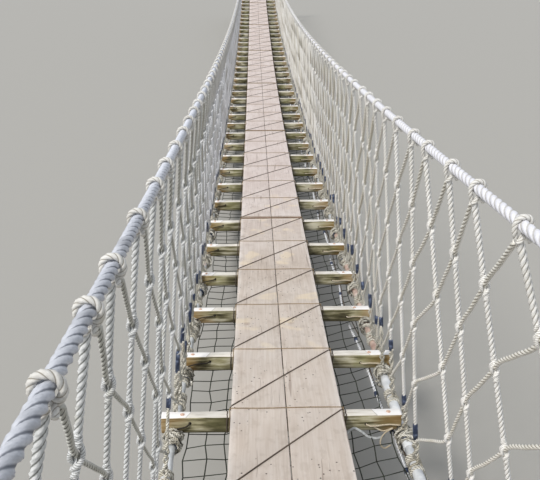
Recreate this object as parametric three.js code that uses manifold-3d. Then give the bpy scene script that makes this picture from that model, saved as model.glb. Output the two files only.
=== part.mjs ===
// Rope suspension footbridge: two boards on timber bearers, carried by two steel cables in pipe
// sleeves, with rope side nets hung from laid handrail ropes. Millimetres, +Z up, +Y along the
// bridge from the near end to the far end, origin on the ground under the middle of the near sill.

import * as THREE from 'three';
import { mergeVertices } from 'three/addons/utils/BufferGeometryUtils.js';
import Module from 'manifold-3d';

const wasm = await Module();
wasm.setup();

// Driving dimensions
const SPAN = 21000;
const BAY = 500;
const BAYS = SPAN / BAY;
const SAG = 560;
const FIRST_SECTION_BAYS = 3;
const SECTION_BAYS = 6;
const SECTIONS = 8;
const CLEARANCE = 0.3;
const ROPE_SIDES = 6;
const ROUND_HOLE_SIDES = 12;
const SAME_POINT = 0.001;

const DECK_TOP_AT_END = 195;
const DECK_WIDTH = 460;
const DECK_SHIFT = -10;
const PLANK_THICKNESS = 25;
const SEAM = 4;
const BUTT_GAP = 3;

const BEARER_LENGTH = 1000;
const BEARER_WIDTH = 47;
const BEARER_DEPTH = 75;
const SHIFTED_BEARERS = { 4: -30, 5: 22, 6: 18, 7: -5, 8: -13 };

const CABLE_X = 480;
const CABLE_RADIUS = 10;
const CABLE_STEP = 1000;
const SLEEVE_RADIUS = 16.85;
const SLEEVE_BORE_RADIUS = 13.5;
const CORNER_OVER_FLAT = 1 / Math.cos(Math.PI / 6);
const SLEEVE_NOTCH = 8;
const SLEEVE_PAST_JOINT = 100;
const SLEEVE_GAP = 20;
const BORE_OVERRUN = 1.01;
const CABLE_DROP = PLANK_THICKNESS + CLEARANCE + BEARER_DEPTH + SLEEVE_RADIUS - SLEEVE_NOTCH;

const RAIL_HEIGHT = 1213;
const RAIL_RADIUS = 12;
const RAIL_X_AT_END = 342;
const RAIL_X_AT_MIDDLE = 373;

const SILL_LENGTH = 1200;
const SILL_HALF_WIDTH = 100;
const CABLE_HOLE_RADIUS = 12.5;

const POST_SIDE = 100;
const POST_HEIGHT = 1500;
const RAIL_HOLE_RADIUS = 14;

const HANGER_SPACING = 210;
const FIRST_HANGER = { left: 315, right: 250 };
const HANGERS = { left: 98, right: 99 };
const SHIFTED_HANGERS = {
  left: { 1: -25, 2: -75, 3: -45, 4: -15, 5: -25, 6: -15, 10: -20 },
  right: { 3: -40, 4: 10, 6: 30, 8: 30, 9: 30, 10: 25, 11: 20, 13: 45, 14: 40, 15: 40 },
};
const SHIFTED_FEET = {
  left: { 0: -150, 1: -35, 2: 130, 3: 45, 4: -20, 5: -50, 6: -215, 7: -105 },
  right: { 3: -150, 4: -80, 5: -30, 6: -125, 7: 25, 8: -20, 9: 40, 10: 115 },
};
const HANGER_TOP_SHIFT = { left: 4, right: -8 };
const HANGER_SIDE = 10.6;
const BRACE_RADIUS = 5;
const BRACE_SIDES = 3;
const BRACE_STEPS = 5;
const BRACE_EVERY = 2;
const BRACE_CURVE = 1.2;
const BRACE_TOP_DROP = 50;
const BRACE_FOOT_RISE = 105;
const HANGER_TOP_GAP = { left: 1.4, right: 2.2 };
const HANGER_FOOT_GAP = 1.4;
const HANGER_FOOT_RISE = SLEEVE_RADIUS * CORNER_OVER_FLAT + HANGER_FOOT_GAP;
const CLEAR_OF_BEARER = 36;
const NETS_PER_SIDE = 4;

const GUY_RADIUS = 8;
const GUY_DROP = 14;
const GUY_GAP = 1.5;
const GUY_START = { left: 1300, right: 1850 };
const GUY_CLEAR_RUN = 150;
const GUY_PAST_START = 60;
const GUY_STEPS = 6;
const GUY_SPREAD_PER_MM = { left: 0.0001, right: 0.0002 };
const GUY_STRAIGHT_RUN = { left: 1500, right: 800 };
const GUY_END_BACK = 60;

const STAKE_RADIUS = 24;
const STAKE_SIDES = 10;
const RING_GAP = 0.1;
const RING_TUBE_SIDES = 5;
const STAKE_HEIGHT = 150;
const STAKE_HEAD_RADIUS = 34;
const STAKE_HEAD_THICKNESS = 14;

const NETTING_ROPE_X = 395;
const SHIFTED_NETTING_ROPE = { 3: 40, 4: 50, 5: 15 };
const NETTING_ROPE_RADIUS = 9;
const NETTING_ROPE_SLACK = 35;
const NETTING_ROPE_GAP = 0.6;
const NETTING_ROPE_SIDES = 5;

// Colours as the photograph shows them
const bleachedBoards = { color: 0xd9cbbd, roughness: 0.85, metalness: 0 };
const weatheredTimber = { color: 0x9b8f5e, roughness: 0.9, metalness: 0 };
const greyTimber = { color: 0x8b8168, roughness: 0.9, metalness: 0 };
const whiteRope = { color: 0xe6e2d6, roughness: 0.8, metalness: 0 };
const galvanisedSteel = { color: 0xa9adb0, roughness: 0.45, metalness: 0.8 };
const dullSteel = { color: 0x7d8286, roughness: 0.6, metalness: 0.7 };

const bridge = new THREE.Group();

function addPiece(name, geometry, look) {
  const mesh = new THREE.Mesh(geometry, new THREE.MeshStandardMaterial(look));
  mesh.name = name;
  bridge.add(mesh);
  return mesh;
}

// Height of the sagging line below the ends, and its slope, at a distance along the bridge
function sagAt(y) {
  const fromMiddle = (y - SPAN / 2) / (SPAN / 2);
  return SAG * (fromMiddle * fromMiddle - 1);
}

function slopeAt(y) {
  return Math.atan((sagAt(y + BAY) - sagAt(y - BAY)) / (2 * BAY));
}

function deckTop(y) {
  return DECK_TOP_AT_END + sagAt(y);
}

// The same line as the ropes and sleeves follow it, straight between points one metre apart
function ropeSagAt(y) {
  const before = Math.min(Math.max(Math.floor(y / CABLE_STEP), 0), SPAN / CABLE_STEP - 1) * CABLE_STEP;
  const share = (y - before) / CABLE_STEP;
  return sagAt(before) * (1 - share) + sagAt(before + CABLE_STEP) * share;
}

function cableLevel(y) {
  return DECK_TOP_AT_END - CABLE_DROP + ropeSagAt(y);
}

function railPoint(sign, y) {
  const before = Math.min(Math.max(Math.floor(y / CABLE_STEP), 0), SPAN / CABLE_STEP - 1) * CABLE_STEP;
  const share = (y - before) / CABLE_STEP;
  const spreadAt = (at) => RAIL_X_AT_END - (RAIL_X_AT_MIDDLE - RAIL_X_AT_END) * sagAt(at) / SAG;
  const spread = spreadAt(before) * (1 - share) + spreadAt(before + CABLE_STEP) * share;
  return new THREE.Vector3(sign * spread, y, DECK_TOP_AT_END + RAIL_HEIGHT + ropeSagAt(y));
}

function cablePoint(sign, y) {
  return new THREE.Vector3(sign * CABLE_X, y, cableLevel(y));
}

// Every metre mark between two places, with the places themselves
function stations(from, to) {
  const marks = [from];
  for (let y = Math.ceil(from / CABLE_STEP) * CABLE_STEP; y < to; y += CABLE_STEP) {
    if (y > from && y > 0 && y < SPAN) marks.push(y);
  }
  marks.push(to);
  return marks;
}

// A path that is straight between its points and turns at them
class PointPath extends THREE.Curve {
  constructor(points) {
    super();
    this.points = points;
  }

  getPoint(share, target = new THREE.Vector3()) {
    const place = share * (this.points.length - 1);
    const index = Math.min(Math.max(Math.floor(place), 0), this.points.length - 2);
    return target.lerpVectors(this.points[index], this.points[index + 1], place - index);
  }

  getPointAt(share, target) {
    return this.getPoint(share, target);
  }

  getTangentAt(share, target) {
    return this.getTangent(share, target);
  }
}

function regularPolygon(sides, radius, turn) {
  const corners = [];
  for (let corner = 0; corner < sides; corner += 1) {
    const angle = turn + 2 * Math.PI * corner / sides;
    corners.push(new THREE.Vector2(radius * Math.cos(angle), radius * Math.sin(angle)));
  }
  return new THREE.Shape(corners);
}

function ropeAlong(points, radius, sides) {
  const section = regularPolygon(sides, radius, Math.PI / sides);
  const path = new PointPath(points);
  return solidFrom(new THREE.ExtrudeGeometry(section, { steps: points.length - 1, extrudePath: path }));
}

function solidFrom(geometry) {
  const bare = geometry.clone();
  bare.deleteAttribute('normal');
  bare.deleteAttribute('uv');
  const merged = mergeVertices(bare, SAME_POINT);
  const vertProperties = new Float32Array(merged.attributes.position.array);
  const triVerts = new Uint32Array(merged.index.array);
  return new wasm.Manifold(new wasm.Mesh({ numProp: 3, vertProperties, triVerts }));
}

function geometryFrom(solid) {
  const mesh = solid.getMesh();
  const geometry = new THREE.BufferGeometry();
  geometry.setAttribute('position', new THREE.BufferAttribute(mesh.vertProperties, 3));
  geometry.setIndex(new THREE.BufferAttribute(mesh.triVerts, 1));
  geometry.computeVertexNormals();
  return geometry;
}

function fused(solids) {
  return solids.reduce((whole, next) => whole.add(next));
}

// A straight bar between two points, stretched from a solid one unit long and two units across
function stretched(unit, from, to, halfWidth) {
  const along = new THREE.Vector3().subVectors(to, from);
  const size = new THREE.Vector3(halfWidth, along.length(), halfWidth);
  const turn = new THREE.Quaternion().setFromUnitVectors(new THREE.Vector3(0, 1, 0), along.normalize());
  const middle = new THREE.Vector3().addVectors(from, to).multiplyScalar(0.5);
  return unit.transform(new THREE.Matrix4().compose(middle, turn, size).elements);
}

const unitPrisms = {};

function bar(from, to, radius, sides) {
  unitPrisms[sides] ??= solidFrom(new THREE.CylinderGeometry(1, 1, 1, sides));
  return stretched(unitPrisms[sides], from, to, radius);
}

// A square bar whose flat faces look along and across the bridge
const unitSquareBar = solidFrom(new THREE.BoxGeometry(2, 1, 2));

function squareBar(from, to, side) {
  return stretched(unitSquareBar, from, to, side / 2);
}

// End sills: stout timbers across the bank, rebated for the ends of the boards
function sillGeometry() {
  const rebate = (y) => DECK_TOP_AT_END + sagAt(BAY) * y / BAY - PLANK_THICKNESS - CLEARANCE;
  const profile = new THREE.Shape([
    new THREE.Vector2(-SILL_HALF_WIDTH, 0),
    new THREE.Vector2(SILL_HALF_WIDTH, 0),
    new THREE.Vector2(SILL_HALF_WIDTH, rebate(SILL_HALF_WIDTH)),
    new THREE.Vector2(0, rebate(0)),
    new THREE.Vector2(0, DECK_TOP_AT_END),
    new THREE.Vector2(-SILL_HALF_WIDTH, DECK_TOP_AT_END),
  ]);
  const timber = new THREE.ExtrudeGeometry(profile, { depth: SILL_LENGTH, bevelEnabled: false });
  timber.applyMatrix4(new THREE.Matrix4().makeBasis(
    new THREE.Vector3(0, 1, 0), new THREE.Vector3(0, 0, 1), new THREE.Vector3(1, 0, 0)));
  timber.translate(-SILL_LENGTH / 2, 0, 0);
  let solid = solidFrom(timber);
  for (const sign of [-1, 1]) {
    const hole = bar(cablePoint(sign, -2 * SILL_HALF_WIDTH), cablePoint(sign, 2 * SILL_HALF_WIDTH),
      CABLE_HOLE_RADIUS, ROUND_HOLE_SIDES);
    solid = solid.subtract(hole);
  }
  return geometryFrom(solid);
}

// Turns a piece of the near end into the same piece of the far end
function placedAtFarEnd(mesh) {
  mesh.rotation.z = Math.PI;
  mesh.position.y = SPAN;
}

addPiece('near_end_sill', sillGeometry(), greyTimber);
placedAtFarEnd(addPiece('far_end_sill', sillGeometry(), greyTimber));

// End posts: square timbers behind the sill, each bored for a handrail rope
const POST_Y = -SILL_HALF_WIDTH - POST_SIDE / 2 - CLEARANCE;

function postGeometry(sign) {
  const timber = new THREE.BoxGeometry(POST_SIDE, POST_SIDE, POST_HEIGHT);
  timber.translate(sign * RAIL_X_AT_END, POST_Y, POST_HEIGHT / 2);
  const hole = bar(railPoint(sign, POST_Y - POST_SIDE), railPoint(sign, POST_Y + POST_SIDE),
    RAIL_HOLE_RADIUS, ROUND_HOLE_SIDES);
  return geometryFrom(solidFrom(timber).subtract(hole));
}

addPiece('near_left_post', postGeometry(-1), greyTimber);
addPiece('near_right_post', postGeometry(1), greyTimber);
placedAtFarEnd(addPiece('far_right_post', postGeometry(-1), greyTimber));
placedAtFarEnd(addPiece('far_left_post', postGeometry(1), greyTimber));

// Handrail ropes: each from a stopper knot behind a near post to one behind the far post
const KNOT_RADIUS = 34;
const KNOT_SQUASH = 0.8;
const KNOT_AROUND = 8;
const KNOT_BANDS = 5;
const KNOT_Y = POST_Y - POST_SIDE / 2 - KNOT_RADIUS * KNOT_SQUASH;

function handrailGeometry(sign) {
  const points = stations(KNOT_Y, SPAN - KNOT_Y).map((y) => railPoint(sign, y));
  const knots = [KNOT_Y, SPAN - KNOT_Y].map((y) => {
    const middle = railPoint(sign, y);
    const knot = new THREE.SphereGeometry(KNOT_RADIUS, KNOT_AROUND, KNOT_BANDS);
    knot.scale(1, KNOT_SQUASH, 1);
    return solidFrom(knot.translate(middle.x, middle.y, middle.z));
  });
  return geometryFrom(fused([ropeAlong(points, RAIL_RADIUS, ROPE_SIDES), ...knots]));
}

addPiece('left_handrail_rope', handrailGeometry(-1), whiteRope);
addPiece('right_handrail_rope', handrailGeometry(1), whiteRope);

// Foot cables: steel wire ropes through both sills, each end held by a washer and a nut
const WASHER_RADIUS = 28;
const WASHER_THICKNESS = 8;
const WASHER_SIDES = 12;
const NUT_RADIUS = 18;
const NUT_THICKNESS = 20;
const NUT_SIDES = 6;
const NUT_INTO_WASHER = 1;
const STUD_PAST_NUT = 15;

function footCableGeometry(sign) {
  const nearFace = -SILL_HALF_WIDTH - CLEARANCE;
  const farFace = SPAN - nearFace;
  const nutEnd = WASHER_THICKNESS + NUT_THICKNESS;
  const studEnd = nutEnd + STUD_PAST_NUT;
  const points = stations(nearFace - studEnd, farFace + studEnd).map((y) => cablePoint(sign, y));
  const pieces = [ropeAlong(points, CABLE_RADIUS, ROPE_SIDES)];
  for (const [face, outward] of [[nearFace, -1], [farFace, 1]]) {
    const level = cableLevel(face);
    const outFrom = (distance) => new THREE.Vector3(sign * CABLE_X, face + outward * distance, level);
    pieces.push(bar(outFrom(0), outFrom(WASHER_THICKNESS), WASHER_RADIUS, WASHER_SIDES));
    pieces.push(bar(outFrom(WASHER_THICKNESS - NUT_INTO_WASHER), outFrom(nutEnd), NUT_RADIUS, NUT_SIDES));
  }
  return geometryFrom(fused(pieces));
}

addPiece('left_foot_cable', footCableGeometry(-1), dullSteel);
addPiece('right_foot_cable', footCableGeometry(1), dullSteel);

// The bay mark at which a section of the deck starts
function sectionStart(section) {
  if (section === 0) return 0;
  return Math.min(FIRST_SECTION_BAYS + (section - 1) * SECTION_BAYS, BAYS);
}

// Deck frames: the bearers of one section on their two pipe sleeves
function bearer(bay) {
  const y = bay * BAY;
  const slope = slopeAt(y);
  const timber = new THREE.BoxGeometry(BEARER_LENGTH, BEARER_WIDTH, BEARER_DEPTH);
  timber.translate(0, 0, -BEARER_DEPTH / 2 - PLANK_THICKNESS - CLEARANCE);
  const turned = new THREE.Matrix4().makeRotationX(slope);
  turned.setPosition(SHIFTED_BEARERS[bay] ?? 0, y, deckTop(y));
  return solidFrom(timber).transform(turned.elements);
}

function sleevePath(sign, section) {
  const first = section === 0;
  const last = section === SECTIONS - 1;
  const from = first ? SILL_HALF_WIDTH + SLEEVE_GAP : sectionStart(section) * BAY + SLEEVE_PAST_JOINT;
  const to = last ? SPAN - SILL_HALF_WIDTH - SLEEVE_GAP
    : sectionStart(section + 1) * BAY + SLEEVE_PAST_JOINT - SLEEVE_GAP;
  return stations(from, to).map((y) => cablePoint(sign, y));
}

function deckFrameGeometry(section) {
  const pieces = [];
  const lastBay = Math.min(sectionStart(section + 1), BAYS - 1);
  for (let bay = sectionStart(section) + 1; bay <= lastBay; bay += 1) {
    pieces.push(bearer(bay));
  }
  let bores = null;
  for (const sign of [-1, 1]) {
    const path = sleevePath(sign, section);
    pieces.push(ropeAlong(path, SLEEVE_RADIUS * CORNER_OVER_FLAT, ROPE_SIDES));
    const beyond = path.map((point) => point.clone());
    beyond[0].lerpVectors(path[1], path[0], BORE_OVERRUN);
    beyond[path.length - 1].lerpVectors(path[path.length - 2], path[path.length - 1], BORE_OVERRUN);
    const bore = ropeAlong(beyond, SLEEVE_BORE_RADIUS * CORNER_OVER_FLAT, ROPE_SIDES);
    bores = bores === null ? bore : bores.add(bore);
  }
  return geometryFrom(fused(pieces).subtract(bores));
}

for (let section = 0; section < SECTIONS; section += 1) {
  addPiece(`deck_frame_${section + 1}`, deckFrameGeometry(section), weatheredTimber);
}

// Deck boards: two side by side in each section, butted on the joint bearers
function plankGeometry(section) {
  const firstBay = sectionStart(section);
  const lastBay = sectionStart(section + 1);
  const top = [];
  for (let bay = firstBay; bay <= lastBay; bay += 1) {
    top.push(new THREE.Vector2(bay * BAY, deckTop(bay * BAY)));
  }
  const trim = (end, inner, gap) => end.lerp(inner, gap / BAY);
  trim(top[0], top[1], section === 0 ? CLEARANCE : BUTT_GAP / 2);
  trim(top[top.length - 1], top[top.length - 2], section === SECTIONS - 1 ? CLEARANCE : BUTT_GAP / 2);
  const underside = top.map((point) => new THREE.Vector2(point.x, point.y - PLANK_THICKNESS)).reverse();
  const board = new THREE.ExtrudeGeometry(new THREE.Shape([...underside, ...top]), {
    depth: (DECK_WIDTH - SEAM) / 2,
    bevelEnabled: false,
  });
  return board.applyMatrix4(new THREE.Matrix4().makeBasis(
    new THREE.Vector3(0, 1, 0), new THREE.Vector3(0, 0, 1), new THREE.Vector3(1, 0, 0)));
}

for (let section = 0; section < SECTIONS; section += 1) {
  const left = addPiece(`left_board_${section + 1}`, plankGeometry(section), bleachedBoards);
  left.position.x = DECK_SHIFT - DECK_WIDTH / 2;
  const right = addPiece(`right_board_${section + 1}`, plankGeometry(section), bleachedBoards);
  right.position.x = DECK_SHIFT + SEAM / 2;
}

// Guy ropes: the nets' foot ropes splay outwards from the sleeves to stakes in the bank
const GUY_FROM_SLEEVE = SLEEVE_RADIUS * CORNER_OVER_FLAT + GUY_RADIUS + GUY_GAP;
const GUY_START_X = CABLE_X + Math.sqrt(GUY_FROM_SLEEVE ** 2 - GUY_DROP ** 2);

function guyX(side, y) {
  const run = Math.max(GUY_START[side] - y, 0);
  const curved = Math.min(run, GUY_STRAIGHT_RUN[side]);
  return GUY_START_X + GUY_SPREAD_PER_MM[side] * curved * (2 * run - curved);
}

function guyPoint(side, y) {
  return new THREE.Vector3(guyX(side, y), y, cableLevel(y) - GUY_DROP);
}

function guySolids(side) {
  const points = [];
  const from = GUY_START[side] + GUY_PAST_START;
  const to = STAKE_RADIUS + GUY_RADIUS - GUY_END_BACK;
  for (let step = 0; step <= GUY_STEPS; step += 1) {
    points.push(guyPoint(side, from + (to - from) * step / GUY_STEPS));
  }
  const end = guyPoint(side, -GUY_END_BACK);
  const ringRadius = STAKE_RADIUS + GUY_RADIUS + RING_GAP;
  const ring = new THREE.TorusGeometry(ringRadius, GUY_RADIUS, RING_TUBE_SIDES, STAKE_SIDES);
  return [ropeAlong(points, GUY_RADIUS, ROPE_SIDES), solidFrom(ring.translate(end.x, end.y, end.z))];
}

// Side nets: upright hangers tied to the handrail and the sleeve, with braces running down along
// the bridge from the top of every second hanger to the foot of the fifth one after it. Each net
// is made for the right-hand side, and a left one is mirrored.
function hangerEnds(side, index) {
  const y = FIRST_HANGER[side] + index * HANGER_SPACING + (SHIFTED_HANGERS[side][index] ?? 0);
  const wanted = y + (SHIFTED_FEET[side][index] ?? 0);
  const bearerTop = Math.round(wanted / BAY) * BAY;
  const nearestBearer = bearerTop + (PLANK_THICKNESS + BEARER_DEPTH / 2) * Math.sin(slopeAt(bearerTop));
  const fromBearer = wanted - nearestBearer;
  const shifted = Math.abs(fromBearer) < CLEAR_OF_BEARER;
  const footY = shifted ? nearestBearer + Math.sign(fromBearer || 1) * CLEAR_OF_BEARER : wanted;
  const fromEnd = Math.min(footY, SPAN - footY);
  const top = railPoint(1, y);
  top.x += HANGER_TOP_SHIFT[side];
  top.z -= RAIL_RADIUS + HANGER_TOP_GAP[side];
  const foot = cablePoint(1, footY);
  if (fromEnd < GUY_START[side] - GUY_CLEAR_RUN) {
    foot.x = guyX(side, fromEnd);
    foot.z -= GUY_DROP;
  } else {
    foot.z += HANGER_FOOT_RISE;
  }
  return { top, foot };
}

function hangerPoint({ top, foot }, step) {
  const length = top.distanceTo(foot);
  const braced = length - BRACE_TOP_DROP - BRACE_FOOT_RISE;
  const fromTop = BRACE_TOP_DROP + braced * (step / BRACE_STEPS) ** BRACE_CURVE;
  return new THREE.Vector3().lerpVectors(top, foot, fromTop / length);
}

function netGeometry(side, firstHanger, lastHanger) {
  const pieces = [];
  const last = HANGERS[side] - 1;
  for (let index = firstHanger; index <= lastHanger; index += 1) {
    const ends = hangerEnds(side, index);
    pieces.push(squareBar(ends.top, ends.foot, HANGER_SIDE));
  }
  const from = Math.max(firstHanger - 1, 0);
  const to = Math.min(lastHanger, last - 1);
  for (let index = from; index <= to; index += 1) {
    const near = hangerEnds(side, index);
    const far = hangerEnds(side, index + 1);
    for (let step = 0; step < BRACE_STEPS; step += 1) {
      if ((index - step) % BRACE_EVERY !== 0) continue;
      const start = hangerPoint(near, step);
      const end = hangerPoint(far, step + 1);
      const halfGap = new THREE.Vector3().subVectors(end, start).setLength(CLEARANCE / 2);
      const middle = new THREE.Vector3().addVectors(start, end).multiplyScalar(0.5);
      if (index < firstHanger) start.copy(middle).add(halfGap);
      if (index === lastHanger) end.copy(middle).sub(halfGap);
      pieces.push(bar(start, end, BRACE_RADIUS, BRACE_SIDES));
    }
  }
  if (firstHanger === 0) pieces.push(...guySolids(side));
  if (lastHanger === last) {
    pieces.push(...guySolids(side).map((solid) => solid.mirror([0, 1, 0]).translate([0, SPAN, 0])));
  }
  return fused(pieces);
}

for (const side of ['left', 'right']) {
  const perNet = Math.ceil(HANGERS[side] / NETS_PER_SIDE);
  for (let net = 0; net < NETS_PER_SIDE; net += 1) {
    const firstHanger = net * perNet;
    const lastHanger = Math.min(firstHanger + perNet, HANGERS[side]) - 1;
    let solid = netGeometry(side, firstHanger, lastHanger);
    if (side === 'left') solid = solid.mirror([1, 0, 0]);
    addPiece(`${side}_side_net_${net + 1}`, geometryFrom(solid), whiteRope);
  }
}

// Stakes: steel pickets with a head, in the rings of the guy ropes
function stakeGeometry() {
  const neck = STAKE_HEIGHT - STAKE_HEAD_THICKNESS;
  const profile = [
    new THREE.Vector2(0, 0),
    new THREE.Vector2(STAKE_RADIUS, 0),
    new THREE.Vector2(STAKE_RADIUS, neck),
    new THREE.Vector2(STAKE_HEAD_RADIUS, neck),
    new THREE.Vector2(STAKE_HEAD_RADIUS, STAKE_HEIGHT),
    new THREE.Vector2(0, STAKE_HEIGHT),
  ];
  return new THREE.LatheGeometry(profile, STAKE_SIDES).rotateX(Math.PI / 2);
}

for (const side of ['left', 'right']) {
  for (const end of ['near', 'far']) {
    const stake = addPiece(`${end}_${side}_stake`, stakeGeometry(), galvanisedSteel);
    const x = guyX(side, -GUY_END_BACK);
    stake.position.x = side === 'left' ? -x : x;
    stake.position.y = end === 'near' ? -GUY_END_BACK : SPAN + GUY_END_BACK;
  }
}

// Netting rope: the slack white edge rope of the safety netting, tied under the bearers
function nettingRopeGeometry() {
  const points = [];
  const underBearer = -CABLE_DROP + SLEEVE_RADIUS - SLEEVE_NOTCH - NETTING_ROPE_RADIUS - NETTING_ROPE_GAP;
  for (let bay = 1; bay <= BAYS - 1; bay += 1) {
    const y = bay * BAY;
    const slack = bay % 2 === 0 ? NETTING_ROPE_SLACK : 0;
    const x = NETTING_ROPE_X + (SHIFTED_NETTING_ROPE[bay] ?? 0);
    points.push(new THREE.Vector3(x, y, deckTop(y) + underBearer - slack));
  }
  return geometryFrom(ropeAlong(points, NETTING_ROPE_RADIUS, NETTING_ROPE_SIDES));
}

addPiece('right_netting_rope', nettingRopeGeometry(), whiteRope);

export default bridge;
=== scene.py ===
# Rope suspension footbridge. Metres, +Z up, +Y along the bridge from the near end to the far end, +X to the
# right of that way, with the origin at ground level under the middle of the near sill.

import math

import bmesh
import bpy
import numpy as np
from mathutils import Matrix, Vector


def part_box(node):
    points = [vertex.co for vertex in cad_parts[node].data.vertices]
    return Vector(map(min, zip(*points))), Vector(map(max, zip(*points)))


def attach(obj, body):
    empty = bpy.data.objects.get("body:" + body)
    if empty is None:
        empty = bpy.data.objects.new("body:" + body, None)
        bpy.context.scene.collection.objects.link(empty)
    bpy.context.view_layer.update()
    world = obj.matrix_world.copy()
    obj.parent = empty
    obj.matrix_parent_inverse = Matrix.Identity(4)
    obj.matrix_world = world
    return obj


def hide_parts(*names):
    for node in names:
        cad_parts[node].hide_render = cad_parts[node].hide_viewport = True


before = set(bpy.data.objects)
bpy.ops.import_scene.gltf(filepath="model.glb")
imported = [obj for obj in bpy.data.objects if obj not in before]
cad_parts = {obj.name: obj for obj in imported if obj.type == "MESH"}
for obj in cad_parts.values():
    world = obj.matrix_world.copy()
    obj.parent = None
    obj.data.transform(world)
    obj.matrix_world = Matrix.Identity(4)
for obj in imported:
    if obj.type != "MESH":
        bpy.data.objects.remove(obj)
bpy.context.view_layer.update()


# End sills and posts. Stout sawn timbers gone grey in the weather, with worn edges. Each sill is bored for the
# two foot cables and rebated for the boards, and each post is bored for a handrail rope.
END_SILLS = ("near_end_sill", "far_end_sill")
END_POSTS = ("near_left_post", "near_right_post", "far_left_post", "far_right_post")
WORN_EDGE = 0.005


def shade(code):
    """A colour written as six hexadecimal digits, as the linear values that a shader takes."""
    parts = [int(code[i:i + 2], 16) / 255 for i in (0, 2, 4)]
    linear = [p / 12.92 if p <= 0.04045 else ((p + 0.055) / 1.055) ** 2.4 for p in parts]
    return (*linear, 1.0)


class Finish:
    """One material, and short ways to add the nodes that colour and roughen its surface."""

    def __init__(self, name, roughness=0.85, metallic=0.0):
        self.material = bpy.data.materials.new(name)
        self.material.use_nodes = True
        self.tree = self.material.node_tree
        self.surface = self.tree.nodes["Principled BSDF"].inputs
        self.feed(self.surface["Roughness"], roughness)
        self.feed(self.surface["Metallic"], metallic)
        self.place = self.node("TexCoord").outputs["Object"]

    def feed(self, socket, value):
        if isinstance(value, bpy.types.NodeSocket):
            self.tree.links.new(value, socket)
        else:
            socket.default_value = shade(value) if isinstance(value, str) else value

    def node(self, kind, inputs=None, **settings):
        made = self.tree.nodes.new("ShaderNode" + kind)
        for setting, value in settings.items():
            setattr(made, setting, value)
        for socket, value in (inputs or {}).items():
            self.feed(made.inputs[socket], value)
        return made

    def sums(self, operation, *numbers):
        return self.node("Math", dict(enumerate(numbers)), operation=operation).outputs[0]

    def scaled(self, amount, share, rest=0.0):
        """The amount times the share, and the rest on top."""
        return self.sums("MULTIPLY_ADD", amount, share, rest)

    def blend(self, amount, share, other):
        """The share of one amount and the rest of another."""
        return self.scaled(amount, share, self.scaled(other, 1 - share))

    def less(self, amount, taken):
        return self.sums("SUBTRACT", amount, taken)

    def split(self, vector):
        return self.node("SeparateXYZ", {0: vector}).outputs

    def join(self, x, y, z):
        return self.node("CombineXYZ", {0: x, 1: y, 2: z}).outputs[0]

    def lay(self):
        """The two numbers of the UV map: a rope's strand phase and metres, or a timber's place."""
        return self.split(self.node("UVMap", uv_map="lay").outputs["UV"])[:2]

    def attribute(self, name):
        return self.node("Attribute", attribute_name=name).outputs["Fac"]

    def noise(self, scale, detail=4.0, stretch=None, where=None):
        where = where or self.place
        if stretch:
            where = self.node("Mapping", {"Vector": where, "Scale": stretch}).outputs[0]
        return self.node("TexNoise", {"Vector": where, "Scale": scale, "Detail": detail}).outputs["Fac"]

    def specks(self, scale, where):
        """Distance from the nearest of many scattered points."""
        return self.node("TexVoronoi", {"Vector": where, "Scale": scale}).outputs["Distance"]

    def between(self, amount, none, full):
        """0 at the first value and 1 at the second, which may be the lesser, with a smooth rise between."""
        inputs = {0: amount, 1: none, 2: full}
        return self.node("MapRange", inputs, interpolation_type="SMOOTHSTEP").outputs[0]

    def ramp(self, amount, *stops):
        made = self.node("ValToRGB", {"Fac": amount})
        line = made.color_ramp.elements
        while len(line) < len(stops):
            line.new(0.5)
        for element, (place, code) in zip(line, stops):
            element.position = place
            element.color = shade(code)
        return made.outputs["Color"]

    def coats(self, colour, *layers):
        """Colours laid over one another, each with where it lies and how strongly."""
        for over, where, strength in layers:
            inputs = {0: self.scaled(where, strength), 6: colour, 7: over}
            colour = self.node("Mix", inputs, data_type="RGBA").outputs[2]
        return colour

    def done(self, colour, height=None, depth=0.001, roughness=None):
        """Feeds the surface, with the height as relief of that many metres."""
        self.feed(self.surface["Base Color"], colour)
        if height is not None:
            bump = self.node("Bump", {"Height": height, "Distance": depth, "Strength": 1.0})
            self.feed(self.surface["Normal"], bump.outputs["Normal"])
        if roughness is not None:
            self.feed(self.surface["Roughness"], roughness)
        return self.material


def placed(name, data, location=(0, 0, 0), turn=(0, 0, 0)):
    """A new object in the scene, with its turn about each axis in degrees."""
    made = bpy.data.objects.new(name, data)
    made.location = location
    made.rotation_euler = [math.radians(angle) for angle in turn]
    bpy.context.scene.collection.objects.link(made)
    return made


def worn_copy(name, node):
    """A copy of a node's mesh, its flat triangles joined and every sharp edge rounded."""
    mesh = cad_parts[node].data.copy()
    shape = bmesh.new()
    shape.from_mesh(mesh)
    bmesh.ops.remove_doubles(shape, verts=shape.verts, dist=0.00003)
    bmesh.ops.dissolve_limit(shape, angle_limit=math.radians(1), verts=shape.verts, edges=shape.edges)
    shape.to_mesh(mesh)
    shape.free()
    piece = placed(name, mesh)
    bevel = piece.modifiers.new("worn edges", "BEVEL")
    bevel.width = WORN_EDGE
    bevel.segments = 3
    bevel.limit_method = "ANGLE"
    bevel.angle_limit = math.radians(40)
    bevel.harden_normals = True
    return piece


def dress(piece, material, node):
    """Gives a piece its one material, lets it ride on the bridge and stand for its node."""
    piece.data.materials.clear()
    piece.data.materials.append(material)
    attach(piece, "root")
    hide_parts(node)


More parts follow.
